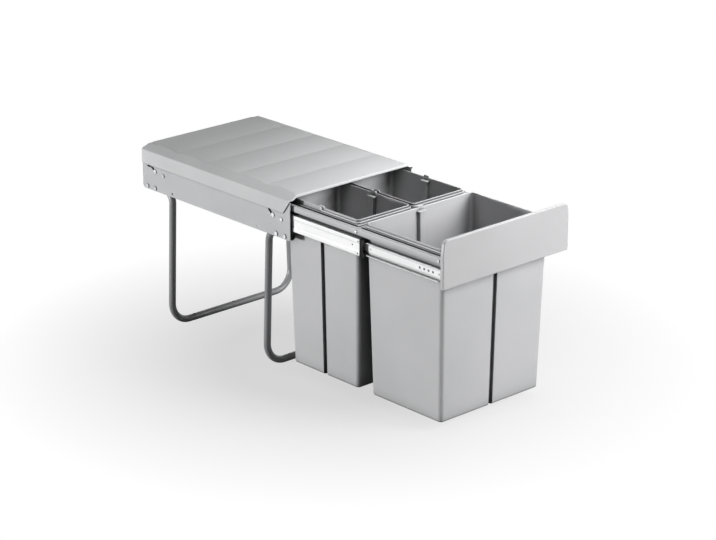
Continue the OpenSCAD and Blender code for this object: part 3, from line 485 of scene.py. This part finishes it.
def bin_rows(width, length, reach):
    """Loops of a bin from the middle of its base, up the outside, over the rim and down inside.
    A round edge of the radius r lies r x (1 - sin a) further in where it has risen by
    r x (1 - cos a), and at the floor the two swap. The rim is half a circle over the wall."""
    def loop(*step):
        """Loop of this bin's wall."""
        return wall_loop(width, length, *step)

    turns = np.radians([0.0, 22.5, 45.0, 67.5, 90.0])
    base = [loop(inset, -BIN_DEPTH) for inset in BASE_INSETS]
    base += [loop(BASE_EDGE * (1 - math.sin(a)), BASE_EDGE * (1 - math.cos(a)) - BIN_DEPTH)
             for a in turns]
    wall = [loop(0.0, z) for z in (WALL_FOOT, *WALL_STOPS, WALL_HEAD)]
    wall += [loop(inset, z, 0.0) for inset, z in NECK_PROFILE]
    brim = [flange_loop(width, length, reach, inset, z) for inset, z in FLANGE_PROFILE]
    collar = [loop(inset, z, 0.0) for inset, z in COLLAR_PROFILE]
    collar.append(loop(0.0, RIM_LEVEL, 0.0, 1.0))
    lip = BIN_WALL / 2.0
    rim = [loop(lip * (1 - math.cos(a)), RIM_HIGH - lip * (1 - math.sin(a)), 0.0, 1.0)
           for a in np.linspace(0.0, np.pi, 7)]
    inside = [loop(BIN_WALL, RIM_LEVEL, 0.0, 1.0)]
    inside += [loop(BIN_WALL, z, 0.0) for z in OVER_CAP]
    cap = [loop(BIN_WALL, z, 0.0, 0.0, CAP_DEEP, CAP_HALF) for z in CAP_STOPS]
    ribs = [loop(BIN_WALL, z, 0.0, 0.0, GROOVE_DEEP, RIB_HALF)
            for z in (RIB_HEAD, *WALL_STOPS[::-1], RIB_FOOT)]
    floor_z = BIN_WALL - BIN_DEPTH
    ribs += [loop(BIN_WALL + FLOOR_EDGE * (1 - math.cos(a)),
                  floor_z + FLOOR_EDGE * (1 - math.sin(a)), 0.0, 0.0, GROOVE_DEEP, RIB_HALF)
             for a in turns]
    ribs += [loop(inset, floor_z, 0.0, 0.0, GROOVE_DEEP, RIB_HALF) for inset in FLOOR_INSETS]
    return np.stack(base + wall + brim + collar + rim + inside + cap + ribs)


print("stops of a bin's wall:", len(WALL_STOPS) + 2)

# %% [markdown]
# The rear bins are mirror images, with a narrow flange where they meet in the middle of the
# drawer. The front bin is the same kind of bin turned by a quarter: its grooved walls face the
# front and the rear bins.

# %% The three bins
FRONT_BIN_Y = -538.7
REAR_BIN_Y = -302.5
REAR_BIN_X = 74.25
REAR_BIN_SIZE = (141.5, 214.0)
FRONT_BIN_SIZE = (214.0, 290.0)
FLANGE_MIDDLE, FLANGE_RAIL, FLANGE_BAR = 3.2, 4.5, 8.8

rear_rows = bin_rows(*REAR_BIN_SIZE, (FLANGE_MIDDLE, FLANGE_RAIL, FLANGE_BAR))
right_rows = rear_rows + np.array([REAR_BIN_X, REAR_BIN_Y, BIN_TOP_Z])
left_rows = right_rows * np.array([-1.0, 1.0, 1.0])
wide_rows = bin_rows(*FRONT_BIN_SIZE, (FLANGE_BAR, FLANGE_BAR, FLANGE_RAIL))
front_rows = np.stack([-wide_rows[..., 1], wide_rows[..., 0], wide_rows[..., 2]], -1)
front_rows = front_rows + np.array([0.0, FRONT_BIN_Y, BIN_TOP_Z])
new_piece("front_bin_shell", [closed_stack(front_rows)], "drawer", "bin_plastic", ["front_bin"])
new_piece("rear_left_bin_shell", [closed_stack(left_rows)], "drawer", "bin_plastic",
          ["rear_left_bin"])
new_piece("rear_right_bin_shell", [closed_stack(right_rows)], "drawer", "bin_plastic",
          ["rear_right_bin"])

# %% [markdown]
# Each bin has a bail handle, a thin moulded bar that turns in the two lugs and lies folded on
# the flange. A bar is a section carried along a path: at each point of the path the section
# stands across it, so the corner of the bar stays as thick as its legs.

# %% A bar along a path and a round pin
BAIL_W, BAIL_H, BAIL_SOFT = 2.4, 4.0, 0.9


def carried(path, section, height):
    """Loops of the section [s, t] along the flat path: the point of the path plus s times the
    side direction, at the height plus t."""
    along = np.gradient(path, axis=0)
    along /= np.linalg.norm(along, axis=1, keepdims=True)
    side = np.stack([along[:, 1], -along[:, 0]], -1)
    flat = path[:, None] + side[:, None] * section[None, :, :1]
    tall = np.broadcast_to(height + section[None, :, 1:], flat.shape[:2] + (1,))
    return np.concatenate([flat, tall], -1)


def round_pin(x0, x1, radius, edge, centre_z, count=28):
    """Loops of a pin along X from x0 to x1: circles whose radius drops by edge at both ends."""
    turn = np.linspace(0.0, 2.0 * np.pi, count, endpoint=False)
    x = np.array([x0, x0, x0 + edge, x1 - edge, x1, x1])
    r = radius - np.array([3.0 * edge, edge, 0.0, 0.0, edge, 3.0 * edge])
    return np.stack(np.broadcast_arrays(
        x[:, None], r[:, None] * np.cos(turn), centre_z + r[:, None] * np.sin(turn)), -1)


half_w, half_h = BAIL_W / 2.0, BAIL_H / 2.0
bail_section = rounded_path([[half_w, half_h, BAIL_SOFT], [-half_w, half_h, BAIL_SOFT],
                             [-half_w, -half_h, BAIL_SOFT], [half_w, -half_h, BAIL_SOFT]], 4)
print("points round the bail's bar:", len(bail_section))

# %% [markdown]
# At each end of the bar an eye holds a pin that turns in the lug. The rear bins' bails lie
# folded to the front, and the front bin's lies folded to the left.

# %% Bail handles
BAIL_Z, BAIL_GAP = 2.2, 0.35
PIVOT_Z, EYE_R, PIVOT_R = 8.0, 4.0, 1.8


def bail_parts(width, length):
    """Handle of a bin that is width across its lugs and length the other way: the bar on its
    path from lug to lug round the front half, and at each end an eye and a pin."""
    outer = width / 2.0 + BAIL_GAP + BAIL_W / 2.0
    reach = -length / 2.0 - BAIL_GAP - BAIL_W / 2.0
    radius = BIN_CORNER - BAIL_W / 2.0
    path = rounded_path([[outer, 0, 0], [outer, reach, radius], [-outer, reach, radius],
                         [-outer, 0, 0]], 10, closed=False)
    parts = [closed_stack(carried(path, bail_section, BAIL_Z + BAIL_H / 2.0))]
    for side in (-1.0, 1.0):
        inner = width / 2.0 + BAIL_GAP
        eye = round_pin(inner, inner + BAIL_W, EYE_R, 0.4, PIVOT_Z)
        pin = round_pin(width / 2.0 - BIN_WALL - 1.0, inner + 0.5, PIVOT_R, 0.2, PIVOT_Z)
        mirror = np.array([side, 1.0, 1.0])
        parts += [closed_stack(eye * mirror), closed_stack(pin * mirror)]
    return parts


def placed(parts, turn, offset):
    """Parts turned about Z by turn quarter turns, mirrored in X if turn is "mirror", and moved."""
    if turn == "mirror":
        return [(p * [-1, 1, 1] + offset, [f[::-1] for f in faces]) for p, faces in parts]
    matrix = np.linalg.matrix_power(np.array([[0, -1, 0], [1, 0, 0], [0, 0, 1.0]]), turn)
    return [(p @ matrix.T + offset, faces) for p, faces in parts]


rear_bail = bail_parts(*REAR_BIN_SIZE)
new_piece("rear_right_bin_bail", placed(rear_bail, 0, [REAR_BIN_X, REAR_BIN_Y, BIN_TOP_Z]),
          "drawer", "handle_plastic", ["rear_right_bin_handle"])
new_piece("rear_left_bin_bail", placed(rear_bail, "mirror", [-REAR_BIN_X, REAR_BIN_Y, BIN_TOP_Z]),
          "drawer", "handle_plastic", ["rear_left_bin_handle"])
new_piece("front_bin_bail", placed(bail_parts(*FRONT_BIN_SIZE), 3, [0.0, FRONT_BIN_Y, BIN_TOP_Z]),
          "drawer", "handle_plastic", ["front_bin_handle"])

# %% [markdown]
# ## The lid
#
# The lid is a moulded tray turned upside down: a top of five low arches that meet in creases,
# sloped shoulders, a skirt outside the side panels and at the back, and a lip turned down in
# front. The height of its top is a smooth minimum of the shoulder's plane and the arches: the
# lower of the two wins, and a narrow soft band joins them, as the mould's rounded edge does.

# %% The lid's roof
LID_FRONT, LID_REAR = -235.5, 250.5
LID_HALF, SHOULDER_X = 170.8, 151.0
SKIRT_Z, SHOULDER_Z, VALLEY_Z = 352.0, 382.0, 391.0
SHOULDER_WIDE, SHOULDER_RISE = 19.8, 10.0
SHOULDER_SLOPE = SHOULDER_RISE / SHOULDER_WIDE
WAVES, WAVE_L, WAVE_H = 5, 95.6, 2.4
ROOF_SOFT = 1.2


def lid_wave(y):
    """Height of the arches: valley + 4 x height x k x (1 - k), with k from 0 to 1 in each."""
    s = (np.asarray(y) - LID_FRONT) / WAVE_L
    k = np.where((s > 0) & (s < WAVES), s - np.floor(s), 0.0)
    return VALLEY_Z + 4.0 * WAVE_H * k * (1.0 - k)


def lid_roof(x, y):
    """Smooth minimum of the shoulder's plane and the arches: with the share s running from 0 to
    1 where plane and arches are less than ROOF_SOFT apart, it is arches x (1 - s) + plane x s
    less ROOF_SOFT x s x (1 - s)."""
    plane = SHOULDER_Z + (LID_HALF - np.abs(x)) * SHOULDER_SLOPE
    top = lid_wave(y)
    share = np.clip(0.5 + 0.5 * (top - plane) / ROOF_SOFT, 0.0, 1.0)
    return top * (1 - share) + plane * share - ROOF_SOFT * share * (1 - share)


print("top of an arch:", float(lid_roof(0.0, LID_FRONT + WAVE_L / 2.0)))

# %% [markdown]
# In front the top ends in a lip, turned down to stiffen the edge that a hand takes hold of. The
# skirt has no lip there, and its front edge is slanted.

# %% The lid's front edge
SKIRT_FRONT = ((SKIRT_Z, -213.5), (377.0, -232.5), (385.5, LID_FRONT))
LIP_H, LIP_R, LIP_POINTS = 5.5, 2.0, 7
CURL_FROM, CURL_TO = 379.0, 388.0


def lid_edge(z):
    """Y of the lid's front edge at the height z: upright at the top, slanted on the skirt."""
    heights, places = zip(*SKIRT_FRONT)
    return np.interp(z, heights, places)


def lid_lip(z):
    """Y and Z of the first points of a loop that meets the front at the height z. On the top
    they turn down by LIP_H round the radius LIP_R. On the skirt they stay level behind the
    slanted edge, and the curl between 0 and 1 leads from one to the other."""
    curl = smooth_step(CURL_FROM, CURL_TO, z)
    bend = np.linspace(np.pi / 2.0, 0.0, LIP_POINTS - 1)
    y_curl = np.concatenate([[0.0, 0.0], LIP_R - LIP_R * np.sin(bend)])[:-1]
    z_curl = np.concatenate([[-LIP_H, -LIP_H + 1.0], -LIP_R + LIP_R * np.cos(bend)])[:-1]
    y_flat = np.linspace(0.0, LIP_R, len(y_curl), endpoint=False)
    return lid_edge(z) + y_curl * curl + y_flat * (1 - curl), z + z_curl * curl


print("foot of the skirt's front edge:", float(lid_edge(SKIRT_Z)))

# %% [markdown]
# The loops of the lid are open at the front. They climb the skirt, fold over the shoulder and
# run in over the top. Each loop starts at the lip on the left, goes back along the side, round
# the rear and forward again on the right. The points of a side stand closest where two arches
# meet, so that the creases stay crisp.

# %% One loop of the lid
LID_CORNER = 6.0
SIDE_FIRST, SIDE_LAST = LID_FRONT + 3.0, 234.0

wave_steps = np.array([0.0, 0.02, 0.06, 0.14, 0.25, 0.38, 0.5, 0.62, 0.75, 0.86, 0.94, 0.98])
lid_ys = (LID_FRONT + WAVE_L * (np.arange(WAVES)[:, None] + wave_steps)).ravel()
lid_ys = lid_ys[(lid_ys > SIDE_FIRST) & (lid_ys < SIDE_LAST)]
lid_ys = np.concatenate([[LID_FRONT + LIP_R], lid_ys])


def lid_row(half_x, rear, wall, side_drop, back_drop):
    """Open loop of the lid from the front of its left side, round the back, to the front of its
    right side. wall is the share of the skirt's height, or 1 on the fold and the top. The
    height is the roof's less the drop, whose value turns from side to back round the corner."""
    radius = min(LID_CORNER, 0.6 * half_x)
    arc = np.linspace(0.0, np.pi / 2.0, 7)
    corner = rear - radius
    across = np.linspace(1.0, 0.0, 7)[1:] * (half_x - radius)
    x = np.concatenate([np.full(len(lid_ys), half_x), half_x - radius + radius * np.cos(arc), across])
    y = np.concatenate([lid_ys, corner + radius * np.sin(arc), np.full(len(across), rear)])
    turned = np.concatenate([np.zeros(len(lid_ys)), np.sin(arc) ** 2, np.ones(len(across))])
    top = lid_roof(x, y) - side_drop * (1 - turned) - back_drop * turned
    z = SKIRT_Z + (top - SKIRT_Z) * wall
    side = np.arange(len(x)) < len(lid_ys)
    edge = lid_edge(z) + LIP_R
    start = LID_FRONT + LIP_R
    y = np.where(side, edge + (y - start) * (corner - edge) / (corner - start), y)
    y_lip, z_lip = lid_lip(z[0])
    x = np.concatenate([np.full(len(y_lip), half_x), x])
    y, z = np.concatenate([y_lip, y]), np.concatenate([z_lip, z])
    left = np.stack([-x, y, z], -1)
    right = np.stack([x[:-1], y[:-1], z[:-1]], -1)[::-1]
    return np.concatenate([left, right])


print("points along a side of the lid:", len(lid_ys))

# %% [markdown]
# The lid has two folds: the shoulder's, a round corner seen from the front, and the rear one, a
# round corner seen from the side. The drop of a loop is the height that the corner loses there
# by being round. The last loops leave a narrow strip open along the middle of the lid, and
# quads close it. The wall gets its thickness from a Solidify modifier, which lays a copy of the
# surface inside the first, the same distance away everywhere.

# %% The lid's shell
SKIRT_T = 1.9
FOLD_R, REAR_FOLD_R = 2.5, 4.0
SKIRT_SHARES = (0.0, 0.02, 0.3, 0.7, 0.95)
REAR_FOLD_Y = 230.0
TOP_REARS = (246.0, 238.0)
TOP_XS = (168, 164, 160, 157, 155, 153.5, 152, 150.5, 149, 147, 144, 138, 120, 90, 60, 30, 1)

shoulder_top = SHOULDER_Z + SHOULDER_WIDE * SHOULDER_SLOPE
fold = rounded_path([[LID_HALF, SKIRT_Z, 0], [LID_HALF, SHOULDER_Z, FOLD_R],
                     [SHOULDER_X, shoulder_top, 0]], 5, closed=False)[1:-1]
rear_fold = rounded_path([[LID_REAR, SKIRT_Z, 0], [LID_REAR, VALLEY_Z, REAR_FOLD_R],
                          [REAR_FOLD_Y, VALLEY_Z, 0]], 5, closed=False)[1:-1]
fold_drop = SHOULDER_Z + (LID_HALF - fold[:, 0]) * SHOULDER_SLOPE - fold[:, 1]
rear_drop = VALLEY_Z - rear_fold[:, 1]
top_rears = np.linspace(*TOP_REARS, len(TOP_XS))

lid_rows = [lid_row(LID_HALF, LID_REAR, share, fold_drop[0], rear_drop[0])
            for share in SKIRT_SHARES]
lid_rows += [lid_row(fold[k, 0], rear_fold[k, 0], 1.0, fold_drop[k], rear_drop[k])
             for k in range(len(fold))]
lid_rows += [lid_row(x, rear, 1.0, 0.0, 0.0) for x, rear in zip(TOP_XS, top_rears)]
lid_rows = np.stack(lid_rows)
lid_size = lid_rows.shape[1]
quads = stack_faces(len(lid_rows), lid_size)
quads = quads.reshape(len(lid_rows) - 1, lid_size, 4)[:, :-1].reshape(-1, 4)
last = (len(lid_rows) - 1) * lid_size
seam = np.arange(len(lid_ys) + LIP_POINTS - 1)
mirror_seam = lid_size - 1 - seam
strip = np.stack([seam[:-1], seam[1:], mirror_seam[1:], mirror_seam[:-1]], -1) + last
rear_gap = np.arange(seam[-1], mirror_seam[-1] + 1) + last
lid_points = lid_rows.reshape(-1, 3)
first, second, third = lid_points[strip[LIP_POINTS + 2, :3]]
top_normal = np.cross(second - first, third - first)
lid_faces = quads.tolist() + strip.tolist() + [rear_gap.tolist()]
if top_normal[2] < 0:
    lid_faces = [face[::-1] for face in lid_faces]
lid = new_piece("lid_shell", [(lid_points, lid_faces)], "lid", "lid_plastic", ["system_lid"])
thickness = lid.modifiers.new("thickness", "SOLIDIFY")
thickness.thickness = SKIRT_T * MM
thickness.offset = -1.0
thickness.use_even_offset = True

# %% [markdown]
# Four lugs hang from the lid between the panels and the slides, and carry the guide pins. They
# are plain plates with a rounded lower end, so each is an outline carried a short way along X.

# %% Lid lugs
LUG_X0, LUG_X1 = 164.4, 166.3
LUG_YS, LUG_HALF, LUG_TOP = (-180.5, 204.5), 6.0, 383.5
LUG_ROUND, LUG_CUT = 4.0, 0.5
PIN_Z = 339.8


def plate_x(outline, x0, x1, soft=0.3):
    """Loops of a plate between x0 and x1 whose outline in Y and Z shrinks by soft at the faces."""
    middle = outline.mean(0)
    size = np.ptp(outline, 0).max()
    shrunk = middle + (outline - middle) * (1.0 - 2.0 * soft / size)
    flat = np.stack([shrunk, outline, outline, shrunk])
    x = np.array([x0, x0 + soft, x1 - soft, x1])
    return np.concatenate([np.broadcast_to(x[:, None, None], flat.shape[:2] + (1,)), flat], -1)


lug_parts = []
for lug_y in LUG_YS:
    y0, y1, low = lug_y - LUG_HALF, lug_y + LUG_HALF, PIN_Z - LUG_HALF
    outline = rounded_path([[y0, low, LUG_ROUND], [y1, low, LUG_ROUND],
                            [y1, LUG_TOP, LUG_CUT], [y0, LUG_TOP, LUG_CUT]])
    plate = plate_x(outline, LUG_X0, LUG_X1)
    lug_parts += [closed_stack(plate), closed_stack(plate * [-1, 1, 1])]
new_piece("lid_lugs", lug_parts, "lid", "lid_plastic", ["system_lid"])

# %% [markdown]
# ## The front panel
#
# The front panel is pressed from sheet: a flat face, an edge folded back all round, and four
# bosses behind it for the screws. Its loops run from the middle of the face over the soft edge,
# back along the fold, round the cut end of the sheet and in again behind the face.

# %% Front panel
PANEL_Y = -674.5
PANEL_HALF, PANEL_TAPER = 171.5, 3.0
PANEL_LOW, PANEL_KINK, PANEL_HIGH = 313.0, 382.0, 411.0
PANEL_CORNER, KINK_R, LOW_CORNER = 11.0, 6.0, 2.2
PANEL_DEEP, PANEL_T, PANEL_EDGE = 8.0, 1.6, 1.7
FACE_INSET = 8.0
BOSS_X, BOSS_ZS = 132.0, (325.0, 349.0)


def panel_loop(inset, depth):
    """Outline of the panel drawn in by inset, at the depth behind the face."""
    x, top_x = PANEL_HALF - inset, PANEL_HALF - inset - PANEL_TAPER
    low, high = PANEL_LOW + inset, PANEL_HIGH - inset
    corner, small = max(PANEL_CORNER - inset, 1.5), max(LOW_CORNER - inset, 0.6)
    outline = rounded_path([
        [-x, low, small], [x, low, small], [x, PANEL_KINK, KINK_R], [top_x, high, corner],
        [-top_x, high, corner], [-x, PANEL_KINK, KINK_R]], 7)
    y = np.full((len(outline), 1), PANEL_Y + depth)
    return np.concatenate([outline[:, :1], y, outline[:, 1:]], 1)


panel_profile = [(FACE_INSET, 0.0), (2.6, 0.0)]
panel_profile += [(PANEL_EDGE * (1 - math.sin(a)), PANEL_EDGE * (1 - math.cos(a)))
                  for a in np.radians([0, 22.5, 45, 67.5, 90])]
panel_profile += [(0.0, 2.6), (0.0, 7.2), (0.15, 7.85), (0.5, PANEL_DEEP), (1.2, PANEL_DEEP),
                  (PANEL_T, 7.6), (PANEL_T, 2.4), (2.0, PANEL_T), (2.9, PANEL_T),
                  (FACE_INSET, PANEL_T)]
panel_parts = [closed_stack(np.stack([panel_loop(*step) for step in panel_profile]))]
turn = np.linspace(0.0, 2.0 * np.pi, 32, endpoint=False)
boss_profile = np.array([(1.6, 1.5), (5.0, 1.5), (5.0, 5.8), (4.7, 6.1), (1.9, 6.1), (1.6, 5.8)])
for boss_x in (-BOSS_X, BOSS_X):
    for boss_z in BOSS_ZS:
        ring = np.stack(np.broadcast_arrays(
            boss_x + boss_profile[:, :1] * np.cos(turn), PANEL_Y + boss_profile[:, 1:],
            boss_z + boss_profile[:, :1] * np.sin(turn)), -1)
        panel_parts.append(closed_stack(ring))
new_piece("front_panel_skin", panel_parts, "drawer", "front_coating", ["front_panel"])

# %% [markdown]
# ## The rails and cross bars
#
# Each rail is one strip of steel, folded along its length: a web behind the slide, a shelf over
# it, a band that shows above the slide, and a top flange on which the bins' flanges lie. Folded
# sheet has an outer radius of about one and a half times its thickness, which is what catches
# the light along the drawer, so the section is rounded and carried along Y.

# %% Rails
RAIL_Y0, RAIL_Y1 = -664.5, -190.0
RAIL_T, BEND_IN, BEND_OUT, CUT_R = 1.2, 0.8, 2.0, 0.4
WEB_X, BAND_X, TOP_X = 150.0, 161.0, 154.5
WEB_Z, SHELF_Z, TOP_Z = 316.2, 357.0, 370.5


def along_y(section, y0, y1, soft=0.25):
    """Loops of the section [x, z] from y0 to y1, smaller by soft in 40 mm at its two ends."""
    middle = section.mean(0)
    shrunk = middle + (section - middle) * (1.0 - soft / 40.0)
    flat = np.stack([shrunk, section, section, shrunk])
    y = np.broadcast_to(np.array([y0, y0 + soft, y1 - soft, y1])[:, None], flat.shape[:2])
    return np.stack([flat[..., 0], y, flat[..., 1]], -1)


rail_section = rounded_path([
    [WEB_X, WEB_Z, CUT_R], [WEB_X + RAIL_T, WEB_Z, CUT_R], [WEB_X + RAIL_T, SHELF_Z, BEND_IN],
    [BAND_X, SHELF_Z, BEND_OUT], [BAND_X, TOP_Z, BEND_OUT], [TOP_X, TOP_Z, CUT_R],
    [TOP_X, TOP_Z - RAIL_T, CUT_R], [BAND_X - RAIL_T, TOP_Z - RAIL_T, BEND_IN],
    [BAND_X - RAIL_T, SHELF_Z + RAIL_T, BEND_IN], [WEB_X, SHELF_Z + RAIL_T, 1.8]], 4)
right_rail = along_y(rail_section, RAIL_Y0, RAIL_Y1)
new_piece("right_rail_fold", [closed_stack(right_rail)], "drawer", "coated_steel",
          ["right_carrier_rail"])
new_piece("left_rail_fold", [closed_stack(right_rail * [-1, 1, 1])], "drawer", "coated_steel",
          ["left_carrier_rail"])

# %% [markdown]
# A black bumper closes the front of each middle member: a web that is cut back at mid height,
# where the inner member slides out over it, and a block at each end inside the flanges. It
# rides with the middle member, which moves half as far as the drawer.

# %% Slide bumpers
SLIDE_Z = 333.0
BUMPER_Y0, BUMPER_Y1 = -445.5, -431.5
BUMPER_X0, BUMPER_X1 = 153.3, 161.9
BUMPER_WEB_X = 159.3
BUMPER_HALF, BLOCK_LOW = 18.5, 14.2
NOTCH_OUT, NOTCH_IN, NOTCH_DEEP = 11.0, 7.0, 4.5
LAP, SET_BACK = 0.4, 0.3

notch_y = BUMPER_Y0 + NOTCH_DEEP
web_outline = rounded_path([
    [BUMPER_Y1, -BUMPER_HALF, 0.5], [BUMPER_Y0, -BUMPER_HALF, 2.0],
    [BUMPER_Y0, -NOTCH_OUT, 0.8], [notch_y, -NOTCH_IN, 2.5],
    [notch_y, NOTCH_IN, 2.5], [BUMPER_Y0, NOTCH_OUT, 0.8],
    [BUMPER_Y0, BUMPER_HALF, 2.0], [BUMPER_Y1, BUMPER_HALF, 0.5]])
bumper_web = plate_x(web_outline + [0.0, SLIDE_Z], BUMPER_WEB_X, BUMPER_X1)
block_x, block_top = BUMPER_WEB_X + LAP, BUMPER_HALF - SET_BACK
block = rounded_path([
    [BUMPER_X0, BLOCK_LOW, 0.6], [block_x, BLOCK_LOW, 0.3],
    [block_x, block_top, 0.3], [BUMPER_X0, block_top, 0.6]])
upper_block = along_y(block + [0.0, SLIDE_Z], BUMPER_Y0 + SET_BACK, BUMPER_Y1)
lower_block = along_y(block * [1.0, -1.0] + [0.0, SLIDE_Z], BUMPER_Y0 + SET_BACK, BUMPER_Y1)
bumper = [bumper_web, upper_block, lower_block]
new_piece("right_bumper_block", [closed_stack(rows) for rows in bumper], "right_middle",
          "black_plastic", ["right_slide_bumper"])
new_piece("left_bumper_block", [closed_stack(rows * [-1, 1, 1]) for rows in bumper],
          "left_middle", "black_plastic", ["left_slide_bumper"])

# %% [markdown]
# ## The picture
#
# The unit stands on a pale floor that fades to white away from it, as a product stands on a
# sweep of paper. The fade shows to the camera only, so the floor still throws its real light
# back on the bins.

# %% Floor
PAPER, PAPER_FIBRE = (0.45, 0.45, 0.45, 1), (0.50, 0.50, 0.50, 1)
FADE_FROM, FADE_TO, FADE_NEAR = 0.25, 0.75, 0.62
UNIT_MIDDLE = (0.0, -0.2, 0.0)

bpy.ops.mesh.primitive_plane_add(size=30, location=(0, 0, -0.0005))
floor = bpy.context.object
floor.name = "floor"
paper = bpy.data.materials.new("paper")
paper.use_nodes = True
tree = paper.node_tree
point = add_node(tree, "ShaderNodeTexCoord", {}).outputs["Object"]
fibre = mapped(tree, noise(tree, point, 300.0, 3.0), *WIDE_SPAN, 0.0, 1.0)
shade = tree.nodes["Principled BSDF"]
tree.links.new(blend(tree, fibre, PAPER, PAPER_FIBRE), shade.inputs["Base Color"])
tree.links.new(mapped(tree, fibre, 0.0, 1.0, 0.85, 0.95), shade.inputs["Roughness"])
far = add_node(tree, "ShaderNodeVectorMath", {0: point, 1: UNIT_MIDDLE},
               operation="DISTANCE").outputs["Value"]
rays = add_node(tree, "ShaderNodeLightPath", {}).outputs
fade = add_node(tree, "ShaderNodeMath", {
    0: mapped(tree, far, FADE_FROM, FADE_TO, FADE_NEAR, 1.0), 1: rays["Is Camera Ray"]},
    operation="MULTIPLY")
white = add_node(tree, "ShaderNodeEmission", {"Color": (1, 1, 1, 1), "Strength": 1.0})
mixed = add_node(tree, "ShaderNodeMixShader", {
    0: fade.outputs[0], 1: shade.outputs[0], 2: white.outputs[0]})
tree.links.new(mixed.outputs[0], tree.nodes["Material Output"].inputs["Surface"])
floor.data.materials.append(paper)
print("floor:", floor.name)

# %% [markdown]
# The white world works the same way: it shows plainly to the camera, in reflections and through
# clear pieces, and lights the scene much less.

# %% World
WORLD_LIGHT = 0.065

world = bpy.data.worlds.new("world")
bpy.context.scene.world = world
world.use_nodes = True
tree = world.node_tree
rays = add_node(tree, "ShaderNodeLightPath", {}).outputs
seen = add_node(tree, "ShaderNodeMath", {0: rays["Is Camera Ray"], 1: rays["Is Glossy Ray"]},
                operation="MAXIMUM").outputs[0]
seen = add_node(tree, "ShaderNodeMath", {0: seen, 1: rays["Is Transmission Ray"]},
                operation="MAXIMUM").outputs[0]
tree.links.new(mapped(tree, seen, 0.0, 1.0, WORLD_LIGHT, 1.0),
               tree.nodes["Background"].inputs["Strength"])
tree.nodes["Background"].inputs["Color"].default_value = (1, 1, 1, 1)
print("world light:", WORLD_LIGHT)


# %% [markdown]
# A broad light in front and to the right models the panel and the bins, and its low angle draws
# the creases of the lid. A low one to the left and behind opens the near side, and leaves the
# gaps between the bins and their near corners dark. A small one over the drawer brightens the
# lid towards its front, and another low one behind keeps the back readable.

# %% Lights
def area_light(name, location, target, size, power):
    """Square area light at the location, turned to the target."""
    data = bpy.data.lights.new(name, "AREA")
    data.size = size
    data.energy = power
    made = bpy.data.objects.new(name, data)
    bpy.context.scene.collection.objects.link(made)
    made.location = location
    made.visible_camera = False
    aim = np.array(target) - np.array(location)
    flat = math.hypot(aim[0], aim[1])
    made.rotation_euler = (math.atan2(flat, -aim[2]), 0.0, math.atan2(aim[1], aim[0]) - math.pi / 2)
    return made


lights = [
    area_light("key", (0.95, -2.15, 1.15), (0.0, -0.55, 0.25), 1.1, 48),
    area_light("left_fill", (-5.0, 2.9, 0.32), (0.0, -0.35, 0.25), 0.6, 295),
    area_light("overhead", (0.2, -0.55, 0.9), (0.0, -0.25, 0.38), 0.3, 3.8),
    area_light("rear_fill", (0.9, 2.5, 0.45), (0.0, 0.2, 0.25), 1.0, 14),
]
bpy.context.scene.view_settings.view_transform = "Standard"
print("lights:", len(lights))
